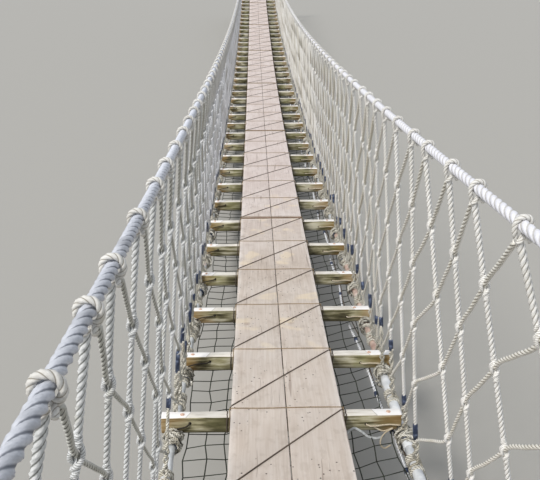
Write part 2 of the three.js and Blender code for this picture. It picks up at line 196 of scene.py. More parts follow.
def grey_timber(name, along):
    """Grain, drying cracks and lichen on a timber that runs along the given axis."""
    wood = Finish(name, roughness=0.9)
    stretch = [0.06 if axis == along else 1.0 for axis in range(3)]
    grain = wood.noise(90.0, 6.0, stretch)
    broad = wood.noise(9.0, 3.0, stretch)
    lichen = wood.between(wood.noise(7.0, 5.0), 0.55, 0.72)
    crack = wood.between(wood.noise(26.0, 2.0, stretch), 0.62, 0.68)
    greys = wood.ramp(wood.blend(grain, 0.6, broad),
                      (0.3, "5d5444"), (0.5, "8a8069"), (0.7, "aba28c"))
    colour = wood.coats(greys, ("7d7a55", lichen, 1.0), ("2f2a21", crack, 0.8))
    return wood.done(colour, wood.scaled(crack, -1.6, grain), 0.0015)


for nodes, name, along in ((END_SILLS, "grey sill timber", 0), (END_POSTS, "grey post timber", 2)):
    timber = grey_timber(name, along)
    for node in nodes:
        dress(worn_copy(node + "_timber", node), timber, node)


# Foot cables. Six-strand galvanised wire ropes, drawn through the sills, each end held by a washer and a nut.
# They carry the whole deck, and their line is the one that the boards, sleeves and handrails follow.
SIDES = (("left", -1), ("right", 1))
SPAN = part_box("far_end_sill")[0].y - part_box("near_end_sill")[0].y
BAY = 0.5
BAYS = 42
SAG = 0.56
DECK_TOP_AT_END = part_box("near_end_sill")[1].z
BOARD_THICKNESS = 0.025
BEARER_DEPTH = 0.075
BEARER_WIDTH = 0.047
SEATING_GAP = 0.0003
UNDER_BEARER = -BOARD_THICKNESS - SEATING_GAP - BEARER_DEPTH
SLEEVE_RADIUS = 0.01685
SLEEVE_BORE = 0.0135
CABLE_X = 0.48
CABLE_RADIUS = 0.01
CABLE_LAY = 0.16
CABLE_DROP = SLEEVE_RADIUS - 0.008 - UNDER_BEARER
SILL_FACE = 0.1003
WASHER = ((0.0, 0.024), (0.0, 0.028), (0.0065, 0.028), (0.008, 0.0265), (0.008, 0.012))
NUT = ((0.008, 0.0165), (0.0095, 0.0178), (0.026, 0.0178), (0.028, 0.0155), (0.028, 0.012))


def deck_top(y):
    """Height of the boards' top: a sagging line, the parabola that is lowest at the middle of the span."""
    return DECK_TOP_AT_END + SAG * ((2 * y / SPAN - 1) ** 2 - 1)


def slope_at(y):
    """Angle at which the sagging line rises."""
    return np.arctan(4 * SAG / SPAN * (2 * y / SPAN - 1))


def spots(x, y, z):
    """Points from their three coordinates, each a number or an array."""
    return np.stack(np.broadcast_arrays(x, y, z), axis=-1)


def foot_line(sign, y):
    """Points on the middle line of a foot cable."""
    return spots(sign * CABLE_X, y, deck_top(y) - CABLE_DROP)


def leaning(x, y, across, up):
    """Points so far across a bearer and so far above the boards' top, turned to the slope of the deck."""
    slope = slope_at(y)
    return spots(x, y + across * np.cos(slope) - up * np.sin(slope),
                 deck_top(y) + across * np.sin(slope) + up * np.cos(slope))


def unit(vectors):
    """The same vectors, one metre long."""
    return vectors / np.linalg.norm(vectors, axis=-1, keepdims=True)


def quads(grid):
    """The four corners of each face between a grid's rings, whose first corner comes again last."""
    corners = [grid[:, :-1, :-1], grid[:, :-1, 1:], grid[:, 1:, 1:], grid[:, 1:, :-1]]
    return np.stack(corners, axis=-1).reshape(-1, 4)


def skin(count, rings, corners):
    """Four-cornered faces from ring to ring of many paths, and strips of them that close both ends."""
    index = np.arange(count * rings * corners).reshape(count, rings, corners)
    strip = np.arange(corners // 2 - 1)
    caps = [np.stack([end[:, strip], end[:, strip + 1], end[:, -2 - strip], end[:, -1 - strip]], axis=-1)
            for end in (index[:, 0, ::-1], index[:, -1])]
    return np.concatenate([quads(np.dstack([index, index[:, :, :1]])), *np.reshape(caps, (2, -1, 4))])


def tubes(paths, radius, sides=6, strands=3, relief=0.0, lay=0.1, facing=(0, 0, 1), start=0.0, tone=0.0):
    """Carries a section along many paths of equally many points at once.

    A corner lies at path + radius * dip * (cos(a) * normal + sin(a) * side), where dip falls by the relief
    between the strands. With relief the angle a turns once in each lay, as laid strands do. Without it only
    the strand phase in the UV map turns. The UV map holds that phase and the metres along the path.
    """
    paths = np.array(paths, float, ndmin=3)
    count, rings = paths.shape[:2]
    steps = np.linalg.norm(np.diff(paths, axis=1), axis=2)
    run = np.concatenate([np.zeros((count, 1)), np.cumsum(steps, axis=1)], axis=1) + start
    ahead = unit(np.gradient(paths, axis=1))
    facing = np.asarray(facing, float)
    normal = unit(facing - (facing * ahead).sum(2, keepdims=True) * ahead)
    side = np.cross(ahead, normal)
    corner = 2 * np.pi * np.arange(sides) / sides
    dip = 1 - relief * (1 - np.cos(strands * corner)) / 2
    turn = 2 * np.pi * run / lay if relief else 0 * run
    angle = (corner + turn[..., None])[..., None]
    reach = (np.broadcast_to(radius, run.shape)[..., None] * dip)[..., None]
    normal, side = normal[:, :, None], side[:, :, None]
    points = paths[:, :, None] + reach * (np.cos(angle) * normal + np.sin(angle) * side)
    faces = skin(count, rings, sides)
    phase = np.arange(sides + 1) / sides + 0 * run[..., None]
    if not relief:
        phase -= (run / lay)[..., None]
    walls = np.stack([quads(phase), quads(run[..., None] + 0 * phase)], axis=-1)
    uv = np.concatenate([walls, np.zeros((len(faces) - len(walls), 4, 2))])
    tones = np.broadcast_to(np.asarray(tone, float)[..., None], points.shape[:3])
    return {"points": points.reshape(-1, 3), "faces": faces, "uv": uv, "tone": tones.reshape(-1)}


def make_piece(name, parts, material, node, sharp=None, keys=()):
    """One dressed mesh from parts that each hold points, four-cornered faces, corner UVs and a tone."""
    starts = np.cumsum([0] + [len(part["points"]) for part in parts])
    points = np.concatenate([part["points"] for part in parts])
    faces = np.concatenate([part["faces"] + start for part, start in zip(parts, starts)])
    mesh = bpy.data.meshes.new(name)
    mesh.vertices.add(len(points))
    mesh.vertices.foreach_set("co", points.ravel())
    mesh.loops.add(faces.size)
    mesh.loops.foreach_set("vertex_index", faces.ravel())
    mesh.polygons.add(len(faces))
    mesh.polygons.foreach_set("loop_start", np.arange(0, faces.size, 4))
    mesh.update(calc_edges=True)
    mesh.polygons.foreach_set("use_smooth", np.ones(len(faces), bool))
    layer = mesh.uv_layers.new(name="lay")
    layer.data.foreach_set("uv", np.concatenate([part["uv"] for part in parts]).ravel())
    for key in ("tone", *keys):
        values = np.concatenate([part[key] for part in parts])
        mesh.attributes.new(key, "FLOAT", "POINT").data.foreach_set("value", values)
    if sharp:
        mesh.set_sharp_from_angle(angle=math.radians(sharp))
    dress(placed(name, mesh), material, node)


def dull_zinc(name, light, dark, rust):
    """Galvanised steel: soft spangle, dull patches, and rust where the noise is over the given level."""
    zinc = Finish(name, roughness=0.5, metallic=0.6)
    patch = zinc.noise(30.0, 5.0)
    stain = zinc.between(zinc.noise(9.0, 6.0), rust, rust + 0.08)
    browns = zinc.ramp(patch, (0.35, "6b3d1e"), (0.65, "b4743d"))
    colour = zinc.coats(zinc.ramp(patch, (0.3, dark), (0.7, light)), (browns, stain, 1.0))
    return zinc.done(colour, patch, 0.0004, zinc.scaled(stain, 0.35, 0.5))


def turned(centre, axis, profile, sides, facing=(0, 0, 1)):
    """A turned shape: rings of the profile's radii at its distances along the axis.

    The rings are strung out by the length of the profile, and then shifted along the axis to their distances.
    """
    along, radii = np.array(profile, float).T
    axis = np.asarray(axis, float)
    run = np.concatenate([[0.0], np.cumsum(np.hypot(np.diff(along), np.diff(radii)))])
    shape = tubes(np.asarray(centre) + run[:, None] * axis, radii, sides, facing=facing)
    shape["points"] += np.repeat(along - run, sides)[:, None] * axis
    return shape


cable_steel = dull_zinc("dull cable steel", "8f9394", "5f6465", 0.66)
for side, sign in SIDES:
    node = side + "_foot_cable"
    low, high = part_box(node)
    y = np.concatenate([np.linspace(low.y, 0.45, 56), np.arange(0.7, SPAN - 0.6, 0.25),
                        np.linspace(SPAN - 0.45, high.y, 56)])
    parts = [tubes(foot_line(sign, y), CABLE_RADIUS, 12, strands=6, relief=0.3, lay=CABLE_LAY)]
    for face, outward in ((-SILL_FACE, -1), (SPAN + SILL_FACE, 1)):
        for profile, sides in ((WASHER, 32), (NUT, 6)):
            parts.append(turned(foot_line(sign, face), (0, outward, 0), profile, sides))
    make_piece(node + "_rope", parts, cable_steel, node, sharp=38)


# Bearers and pipe sleeves of the deck frames. Sawn timbers, bleached on top and green with algae on their
# sides, each bolted down near its ends on two galvanised pipes that are threaded on the foot cables.
JOINT_BAYS = (0, *range(3, BAYS, 6), BAYS)
BEARER_LENGTH = 1.0
SLEEVE_PAST_JOINT = 0.1
SLEEVE_GAP = 0.02
SLEEVE_RING = 0.25
STRING_HOLES = ((-0.38, 0.027), (0.352, 0.044))
BOLT_X = {-1: -0.442, 1: 0.417}
BOLT_WASHER = ((0, 0.0095), (0.0015, 0.0095), (0.002, 0.0085))
BOLT_HEAD = ((0.0015, 0.0062), (0.0045, 0.0064), (0.0055, 0.0045))
rng = np.random.default_rng(7)


def changed(values, table):
    """The values, with those that the table names put in their places."""
    values[list(table)] = list(table.values())
    return values


def pipe(line, outer, inner, sides):
    """A pipe with a real wall: rings of the outer radius go out along the line, and of the inner one back."""
    solid, bore = (tubes(line, radius, sides)["points"].reshape(-1, sides, 3) for radius in (outer, inner))
    points = np.concatenate([solid, bore[::-1]])
    index = np.arange(len(points) * sides).reshape(1, -1, sides)
    faces = quads(np.pad(index, ((0, 0), (0, 1), (0, 1)), "wrap"))
    return {"points": points.reshape(-1, 3), "faces": faces, "uv": np.zeros((index.size, 4, 2)),
            "tone": np.zeros(index.size)}


def rounded_section(width, depth, easing, per_corner):
    """Corners of a rectangle, widthwise and down, with an arc of the easing's radius in each corner."""
    corner = np.repeat([[1, 1], [-1, 1], [-1, -1], [1, -1]], per_corner, axis=0)
    angle = (np.arange(4)[:, None] * np.pi / 2 + np.linspace(0, np.pi / 2, per_corner)).reshape(-1)
    arcs = np.stack([np.cos(angle), np.sin(angle)], axis=1)
    return corner * (np.array([width, depth]) / 2 - easing) + easing * arcs


def beams(centres, section, slopes, seeds):
    """Timbers that lie across the bridge, one for each centre.

    The section is carried along X. Its last few millimetres draw in to make the eased end, each ring is
    pushed about by a sum of sines for the wear, and the whole beam is turned to the slope of the deck.
    """
    half, ease = BEARER_LENGTH / 2, np.array([0.0, 0.0012, 0.004])
    along = np.concatenate([ease - half, np.linspace(-0.985, 0.985, 10) * half, half - ease[::-1]])[:, None]
    tuck = np.array([0.93, 0.975, 1.0, *np.ones(10), 1.0, 0.975, 0.93])[:, None, None]
    phase = seeds[:, None, None] * 40.0 + np.arange(len(section)) * 0.9
    push = np.sin(along * 23 + phase) + 0.6 * np.sin(along * 61 + phase * 1.7)
    ring = section * tuck + 0.0006 * push[..., None] * unit(section)
    across, up = ring[..., 0], ring[..., 1]
    cosine, sine = np.cos(slopes)[:, None, None], np.sin(slopes)[:, None, None]
    points = centres[:, None, None] + spots(along, across * cosine - up * sine, across * sine + up * cosine)
    faces = skin(*across.shape)[:, [0, 3, 2, 1]]
    return {"points": points.reshape(-1, 3), "faces": faces,
            "uv": np.stack([(along + 0 * up).reshape(-1), across.reshape(-1)], axis=-1)[faces],
            "tone": (seeds[:, None, None] + 0 * up).reshape(-1), "drop": (BEARER_DEPTH / 2 - up).reshape(-1)}


def bearer_finish():
    """Bleached top with paler ends, grey-olive sides streaked along the grain, brownish towards the ends."""
    wood = Finish("weathered bearers", roughness=0.88)
    along, across = wood.lay()
    drop = wood.attribute("drop")
    _, facing_y, facing_z = wood.split(wood.node("NewGeometry").outputs["Normal"])
    where = wood.join(wood.scaled(wood.attribute("tone"), 31.0, along), across, drop)
    grain = wood.noise(150.0, 5.0, (0.07, 1.0, 1.0), where)
    streak = wood.noise(70.0, 5.0, (0.09, 1.0, 1.0), where)
    cloud = wood.noise(9.0, 6.0, (0.7, 1.0, 1.6), where)
    from_end = wood.sums("ABSOLUTE", along)
    edge = wood.scaled(across, 0.45, from_end)
    bleached = wood.coats(
        wood.ramp(wood.blend(grain, 0.5, cloud), (0.32, "aaa296"), (0.46, "d9d3c9"), (0.6, "ebe7e0")),
        ("f3f0ee", wood.between(edge, 0.382, 0.39), 1.0),
        ("8f8983", wood.between(wood.sums("ABSOLUTE", wood.less(edge, 0.386)), 0.004, 0.001), 0.45))
    sides = wood.coats(
        wood.ramp(wood.blend(streak, 0.55, cloud),
                  (0.38, "39331f"), (0.45, "736d4f"), (0.51, "a69f80"), (0.58, "d3cdb6")),
        ("93915a", wood.between(wood.noise(5.0, 3.0, None, where), 0.45, 0.62), 0.42),
        ("2b281c", wood.between(drop, 0.052, 0.075), 0.6),
        # Painted shade: the sides are darkened over the middle of each bearer, under the boards, and the ends
        # stay lighter.
        ("3a3523", wood.between(wood.scaled(cloud, 0.12, from_end), 0.4, 0.31), 0.5),
        ("94703f", wood.between(wood.scaled(cloud, 0.25, from_end), 0.49, 0.6), 0.6))
    # The string holes are not cut: each is a near-black spot on the near face, painted shade of a drilled
    # hole.
    on_near_side = wood.between(facing_y, -0.4, -0.6)
    for x, depth in STRING_HOLES:
        offset = wood.join(wood.less(along, x), wood.less(drop, depth), 0.0)
        reach = wood.node("VectorMath", {0: offset}, operation="LENGTH").outputs["Value"]
        sides = wood.coats(sides, ("14110b", on_near_side, wood.between(reach, 0.0075, 0.0055)))
    top = wood.between(wood.scaled(cloud, 0.35, facing_z), 0.62, 0.86)
    return wood.done(wood.coats(sides, (bleached, top, 1.0)), wood.sums("ADD", grain, streak), 0.0012)


def sleeve_finish():
    """Pale galvanised pipe, with pinkish rust on the right-hand pipe of the bays past the first joint."""
    zinc = Finish("sleeve pipe steel", roughness=0.5, metallic=0.35)
    x, y, _ = zinc.split(zinc.place)
    patch = zinc.noise(30.0, 5.0)
    window = zinc.scaled(zinc.between(y, 2.45, 2.6), zinc.between(y, 5.2, 4.4))
    window = zinc.scaled(window, zinc.between(x, 0.0, 0.1))
    stain = zinc.between(zinc.scaled(window, 0.22, zinc.noise(9.0, 6.0, (1, 0.5, 1))), 0.58, 0.7)
    colour = zinc.coats(zinc.ramp(patch, (0.3, "b9bdc0"), (0.7, "e4e6e7")),
                        (zinc.ramp(patch, (0.35, "b3968a"), (0.65, "decabc")), stain, 1.0))
    return zinc.done(colour, patch, 0.0004, zinc.scaled(stain, 0.35, 0.5))


bearer_timber = bearer_finish()
sleeve_steel = sleeve_finish()
rust = Finish("rusty bolts", roughness=0.8)
rust_patch = rust.noise(160.0, 4.0)
rust.done(rust.ramp(rust_patch, (0.4, "c49c84"), (0.6, "e2c6b5")), rust_patch, 0.0006)
bearer_section = rounded_section(BEARER_WIDTH, BEARER_DEPTH, 0.004, 3)
bearer_shift = changed(np.zeros(BAYS), {4: -0.03, 5: 0.022, 6: 0.018, 7: -0.005, 8: -0.013})
joint_y = BAY * np.array(JOINT_BAYS[1:-1])
sleeve_ends = (SILL_FACE + SLEEVE_GAP, *(joint_y + SLEEVE_PAST_JOINT), SPAN - SILL_FACE)
for section, (start, stop) in enumerate(zip(JOINT_BAYS, JOINT_BAYS[1:])):
    node = f"deck_frame_{section + 1}"
    bays = np.arange(start + 1, min(stop + 1, BAYS))
    y = bays * BAY
    slopes = slope_at(y)
    centres = leaning(bearer_shift[bays], y, 0, UNDER_BEARER + BEARER_DEPTH / 2)
    timbers = beams(centres, bearer_section, slopes, rng.random(len(bays)))
    make_piece(f"bearers_{section + 1}", [timbers], bearer_timber, node, 50, ("drop",))
    first, last = sleeve_ends[section], sleeve_ends[section + 1] - SLEEVE_GAP
    run = np.linspace(first, last, max(int((last - first) / SLEEVE_RING), 2) + 1)
    sleeves = [pipe(foot_line(sign, run), SLEEVE_RADIUS, SLEEVE_BORE, 20) for sign in (-1, 1)]
    make_piece(f"sleeves_{section + 1}", sleeves, sleeve_steel, node, 40)
    bolts = []
    for sign in (-1, 1):
        seats = leaning(BOLT_X[sign], y, 0, UNDER_BEARER + BEARER_DEPTH - 0.0005)
        for seat, slope, turn in zip(seats, slopes, rng.random(len(bays)) * 6):
            up, across = (0, -math.sin(slope), math.cos(slope)), (math.cos(turn), math.sin(turn), 0)
            bolts += [turned(seat, up, BOLT_WASHER, 12, across), turned(seat, up, BOLT_HEAD, 6, across)]
    make_piece(f"bearer_bolts_{section + 1}", bolts, rust.material, node, 35)


# Pipe casings. White plastic pipe slipped over the sleeves of the first bays: plain lengths, and on both sides
# a length past the first joint whose far end tapers in.
CASING_RADIUS = 0.0215
CASING_WALL = 0.0034
CASINGS = (("deck_frame_1", -1, 0.13, 1.575, 0.0), ("deck_frame_1", 1, 0.13, 1.575, 0.0),
           ("deck_frame_2", -1, 1.625, 1.8, 0.07), ("deck_frame_2", 1, 1.625, 1.8, 0.12),
           ("deck_frame_2", 1, 1.85, 2.4, 0.0))
plastic = Finish("white casing plastic", roughness=0.45)
smudge = plastic.noise(12.0, 6.0)
plastic.done(plastic.ramp(smudge, (0.35, "b9bcc0"), (0.55, "e6e8ea")), smudge, 0.0003)
for node, sign, first, last, taper in CASINGS:
    run = np.linspace(last, first, 24)
    outer = CASING_RADIUS - 0.0035 * np.clip(1 - (last - run) / max(taper, 0.001), 0, 1)
    part = pipe(foot_line(sign, run), outer, outer - CASING_WALL, 24)
    name = f"pipe_casing_{round(first * 100)}_{'left' if sign < 0 else 'right'}"
    make_piece(name, [part], plastic.material, node, 40)


# Deck boards. Two one-inch softwood boards side by side in each section, bleached by the weather, butted over
# the joint bearers and held down only by their lashings.
DECK_WIDTH = 0.46
DECK_SHIFT = -0.01
BOARD_WEAR = (0.3, 0.95, 0.35, 0.25, 0.2, 0.3, 0.4, 0.3)
BOARD_SEAM = 0.004
BUTT_GAP = 0.003
BOARD_RING = 0.09


def board(x, first, last, seed):
    """A board between two places along the bridge: an eased section carried along the sagging line.

    The top is cupped by a millimetre, and each ring is twisted and shifted a little by sines of the seed.
    """
    width, half = (DECK_WIDTH - BOARD_SEAM) / 2, BOARD_THICKNESS / 2
    section = rounded_section(width, BOARD_THICKNESS, 0.0035, 4)
    section = np.concatenate([section[:4], [[0.05, half], [0.0, half], [-0.05, half]], section[4:12],
                              [[0.0, -half]], section[12:]])
    ease = np.array([0.0, 0.001, 0.003])
    middle = np.linspace(first + 0.012, last - 0.012, int((last - first) / BOARD_RING))
    y = np.concatenate([first + ease, middle, last - ease[::-1]])[:, None]
    tuck = changed(np.ones(len(y)), {0: 0.86, 1: 0.95, -2: 0.95, -1: 0.86})[:, None]
    across = section[:, 0] * (1 - (1 - tuck) * 0.02)
    cup = 0.0008 * (2 * section[:, 0] / width) ** 2 - 0.0008
    lift = 0.0006 * np.sin(y * 5 + seed * 30) * section[:, 0] / width
    points = spots(x + across, y, deck_top(y) - half + section[:, 1] * tuck + cup + lift).reshape(-1, 3)
    y = points[:, 1]
    faces = skin(1, *across.shape)[:, ::-1]
    return {"points": points, "faces": faces, "uv": np.stack([across.reshape(-1), y], axis=-1)[faces],
            "tone": 0 * y + seed, "out": np.abs(points[:, 0] - DECK_SHIFT),
            "to_end": np.minimum(y - first, last - y)}


def board_finish():
    """Pale pinkish-beige softwood: fine grain, worn clouds, dark specks, stains at the ends with a paler strip
    beyond them, and a painted highlight along the deck's outer edges.
    """
    wood = Finish("bleached boards", roughness=0.82)
    across, along = wood.lay()
    seed, to_end, out = wood.attribute("tone"), wood.attribute("to_end"), wood.attribute("out")
    depth = wood.scaled(seed, 9.0)
    where = wood.join(across, along, depth)
    wander = wood.noise(2.2, 2.0, (3.0, 1.0, 1.0), where)
    bent = wood.join(wood.scaled(wander, 0.022, across), along, depth)
    grain = wood.noise(120.0, 5.0, (1, 0.035, 1), bent)
    fine = wood.noise(420.0, 3.0, (1, 0.03, 1), bent)
    cloud = wood.noise(7.0, 5.0, (1, 0.5, 1), where)
    near_end = wood.between(along, 2.6, 1.2)
    band = wood.between(wood.scaled(near_end, 0.09, wood.noise(3.5, 3.0, None, where)), 0.47, 0.55)
    speck = wood.scaled(wood.between(wood.specks(40.0, where), 0.16, 0.1), band)
    blotch = wood.between(wood.noise(26.0, 5.0, (1, 0.7, 1), where), 0.5, 0.66)
    yellow = wood.scaled(wood.between(wood.noise(5.5, 2.0, None, where), 0.58, 0.68),
                         wood.less(wood.between(along, 2.2, 2.8), wood.between(along, 4.8, 5.4)))
    crack = wood.between(wood.noise(60.0, 3.0, (1, 0.035, 1), bent), 0.66, 0.7)
    colour = wood.coats(
        wood.ramp(wood.blend(grain, 0.5, cloud),
                  (0.32, "bcafa5"), (0.46, "d2c7be"), (0.58, "ded5ce"), (0.72, "e9e2dd")),
        # On this line the band lighter towards the outer edges of the deck is a painted highlight; the seed
        # tone and the blotches are the wood's own.
        ("b9a999", seed, 0.42), ("efe9e4", wood.between(out, 0.2, 0.228), 0.35), ("a08f80", blotch, 0.22),
        ("f0ddba", yellow, 0.4), ("dccaca", wood.between(along, 3.0, 6.0), 0.35), ("3d3029", speck, 0.85),
        ("8f7460", wood.between(wood.specks(3.1, where), 0.075, 0.03), 0.35), ("7a6454", crack, 0.5),
        ("743626", wood.between(wood.scaled(cloud, 0.01, to_end), 0.021, 0.014), 0.85),
        ("f3eeea", wood.less(wood.between(to_end, 0.017, 0.022), wood.between(to_end, 0.03, 0.04)), 0.5))
    return wood.done(colour, wood.scaled(speck, -2.0, wood.scaled(fine, 0.4, grain)), 0.0009)


board_wood = board_finish()
for section, (start, stop) in enumerate(zip(JOINT_BAYS, JOINT_BAYS[1:])):
    first = start * BAY + (BUTT_GAP / 2 if start else SEATING_GAP)
    last = stop * BAY - (BUTT_GAP / 2 if stop < BAYS else SEATING_GAP)
    for side, sign in SIDES:
        x = DECK_SHIFT + sign * (DECK_WIDTH + BOARD_SEAM) / 4
        part = board(x, first, last, BOARD_WEAR[section] + 0.05 * rng.random())
        node = f"{side}_board_{section + 1}"
        make_piece(node + "_wood", [part], board_wood, node, 50, ("to_end", "out"))


# Board lashings. A tan cord over the boards and round the bearer at every bearer, and a dark cord that runs on
# slantwise to the next one; the joints have a second tan cord on each side.
LASHING_RADIUS = 0.0021
LASHING_LAY = 0.012
LASHING_X = DECK_WIDTH / 2 + 0.005
DARK_CORD_RADIUS = 0.0027
DARK_CORD_LAY = 0.014
DARK_CORD_BESIDE = 0.012


def eased_path(points, rings):
    """A smooth path through control points, with the given number of rings in each span.

    Each span is a cubic Hermite curve. The slope at a control point is the mean of the two chord slopes
    there, each weighted by the other chord's length.
    """
    points = np.array(points, float, ndmin=3)
    chord = np.diff(points, axis=1)
    length = np.linalg.norm(chord, axis=2, keepdims=True)
    slope = chord / length
    before, after = length[:, :-1], length[:, 1:]
    middle = (slope[:, :-1] * after + slope[:, 1:] * before) / (before + after)
    slopes = np.concatenate([slope[:, :1], middle, slope[:, -1:]], axis=1)
    spans = []
    for i, count in enumerate(np.broadcast_to(rings, chord.shape[1]).tolist()):
        t = (np.arange(count) / count)[:, None]
        here, there = slice(i, i + 1), slice(i + 1, i + 2)
        bend = (t ** 3 - 2 * t ** 2 + t) * slopes[:, here] + (t ** 3 - t ** 2) * slopes[:, there]
        share = 3 * t ** 2 - 2 * t ** 3
        spans.append((1 - share) * points[:, here] + share * points[:, there] + length[:, here] * bend)
    return np.concatenate([*spans, points[:, -1:]], axis=1)


def cord_finish(name, light, dark, wear):
    """Twisted cord: light strands, patches of dirt, and dark hollows between the strands that are partly dirt
    and partly painted shade.
    """
    cord = Finish(name, roughness=0.85)
    strand = cord.sums("PINGPONG", cord.scaled(cord.lay()[0], 3.0), 0.5)
    # The dark colour laid in the hollows between the strands is partly dirt and partly painted shade.
    colour = cord.coats(cord.ramp(cord.noise(18.0, 5.0), (0.35, wear), (0.6, light)),
                        (dark, cord.between(strand, 0.28, 0.5), 1.0))
    return cord.done(colour, cord.scaled(strand, -1.0), 0.0015)


def across_boards(y, offset):
    """Paths over both boards beside each place y, from one edge lashing to the other, on the boards' top."""
    edge = DECK_WIDTH / 2 - 0.002
    x = DECK_SHIFT + np.array([-LASHING_X, *np.linspace(-edge, edge, 9), LASHING_X])
    y = (y + offset)[:, None]
    path = spots(x, y + 0.0015 * np.sin(x * 19), deck_top(y) + LASHING_RADIUS * 0.8)
    path[:, [0, -1], 2] -= 0.006
    return tubes(path, LASHING_RADIUS, lay=LASHING_LAY)


def round_bearers(sign, beside, radius, lay, lift):
    """Loops round each bearer at the board's edge: down the near face, under it and up the far one."""
    half, deep = BEARER_WIDTH / 2 + radius * 0.7, BEARER_DEPTH + radius
    down = [(0, lift), (-half * 0.8, lift * 0.45), (-half, -0.006), (-half, -deep / 2), (-half, -deep + 0.004),
            (-half * 0.7, -deep)]
    across, up = np.array(down + [(-across, up) for across, up in reversed(down)]).T
    x = DECK_SHIFT + sign * (LASHING_X + beside) + 0.002 * np.sin(np.arange(len(up)) * 1.3)
    path = leaning(x, bearer_y[:, None], across, up - BOARD_THICKNESS)
    return tubes(path, radius, lay=lay, facing=(1, 0, 0))


bearer_y = np.arange(1, BAYS) * BAY
tan = [across_boards(bearer_y, 0.0), across_boards(joint_y, -0.021), across_boards(joint_y, 0.024)]
tan += [round_bearers(sign, 0.001, LASHING_RADIUS, LASHING_LAY, BOARD_THICKNESS) for sign in (-1, 1)]
tan_cord = cord_finish("tan lashing cord", "b49d7f", "5e4f3b", "8d7759")
make_piece("board_lashings", tan, tan_cord, "deck_frame_1")

share = np.array([0.0, *np.linspace(0.02, 0.98, 9), 1.0])
y = bearer_y[:, None] - DARK_CORD_BESIDE - (BAY - 2 * DARK_CORD_BESIDE) * share
y = y + 0.004 * np.sin(np.pi * share)
slant = spots(DECK_SHIFT + LASHING_X * (1 - 2 * share), y, deck_top(y) + DARK_CORD_RADIUS * 0.8)
slant[:, [0, -1], 2] -= 0.008
dark = [round_bearers(sign, DARK_CORD_BESIDE, DARK_CORD_RADIUS, DARK_CORD_LAY, -0.001) for sign in (-1, 1)]
dark.append(tubes(slant, DARK_CORD_RADIUS, lay=DARK_CORD_LAY))
dark_cord = cord_finish("dark lashing cord", "6e6053", "2e2822", "544a40")
make_piece("slanting_cords", dark, dark_cord, "deck_frame_1")


# Bearer strings. On each bearer's near face a thin string runs from a drilled hole out to the rope on the
# sleeve, beige on the right and dark on the left. By the first step two slack cords hang at the right.
STRING_RADIUS = 0.0034
STRING_LAY = 0.012
SLACK_STRING = ((0.355, 1.97, -0.08), (0.392, 1.955, -0.088), (0.43, 1.952, -0.072), (0.4, 1.95, -0.094),
                (0.384, 1.948, -0.126), (0.386, 1.948, -0.158), (0.402, 1.95, -0.176), (0.428, 1.95, -0.16))
SLACK_CORD = ((0.236, 1.958, -0.118), (0.245, 1.955, -0.091), (0.269, 1.955, -0.072), (0.297, 1.955, -0.087),
              (0.339, 1.955, -0.121), (0.367, 1.955, -0.126), (0.4, 1.96, -0.118))


def near_face(x, drop, away):
    """Points so far below the bearers' tops and so far out from their near faces."""
    return leaning(x, bearer_y, -BEARER_WIDTH / 2 - away, -BOARD_THICKNESS - drop)


black_string = cord_finish("dark bearer string", "3a332a", "16120e", "2a241d")
pale_string = cord_finish("pale bearer string", "e0d5bf", "8f7f66", "c4b498")
for (side, sign), cord, (hole, drop), end_drop in zip(SIDES, (black_string, pale_string), STRING_HOLES,
                                                      (0.041, 0.038)):
    lift = 0.002 * (rng.random(len(bearer_y)) - 0.5)
    hole = hole + bearer_shift[1:]
    path = np.stack([near_face(hole, drop, -0.004), near_face(hole + sign * 0.002, drop, 0.004),
                     near_face(sign * 0.42, (drop + end_drop) / 2 + lift, 0.009),
                     near_face(sign * 0.463, end_drop, 0.02)], axis=1)
    parts = [tubes(eased_path(path, [2, 4, 4]), STRING_RADIUS, lay=STRING_LAY)]
    if side == "right":
        parts.append(tubes(eased_path(SLACK_STRING, 6), 0.0032, lay=STRING_LAY, facing=(0, 1, 0)))
    make_piece(side + "_bearer_strings", parts, cord, "deck_frame_1")
slack_grey = Finish("grey slack cord", roughness=0.6)
slack_grey.done(slack_grey.ramp(slack_grey.noise(40.0), (0.4, "9ea2a4"), (0.6, "d4d7d8")))
slack_cord = tubes(eased_path(SLACK_CORD, 6), 0.0052, 10, lay=1.0, facing=(0, 1, 0))
make_piece("slack_grey_cord", [slack_cord], slack_grey.material, "deck_frame_1")


# Handrail ropes. Three-strand laid rope as thick as a thumb, white on the right and greyer on the left, partly
# from age and partly as painted shade, drawn through the end posts and held behind them by stopper knots.
RAIL_RADIUS = 0.012
RAIL_LAY = {-1: 0.073, 1: 0.084}
RAIL_RELIEF = {-1: 0.3, 1: 0.14}
RAIL_HEIGHT = 1.213
RAIL_X_AT_END = 0.342
RAIL_X_AT_MIDDLE = 0.373
RAIL_GRADES = ((-1.0, 4.0, 15, 0.0068), (4.0, 8.0, 9, 0.012), (8.0, 30.0, 8, 0.12))
KNOT_BEHIND = 0.0272
KNOT_SIZE = 0.0079
KNOT_ROPE_RADIUS = 0.0098


def rail_line(sign, y):
    """Points on the middle line of a handrail."""
    sag = DECK_TOP_AT_END - deck_top(y)
    return spots(sign * (RAIL_X_AT_END + (RAIL_X_AT_MIDDLE - RAIL_X_AT_END) * sag / SAG), y,
                 deck_top(y) + RAIL_HEIGHT)


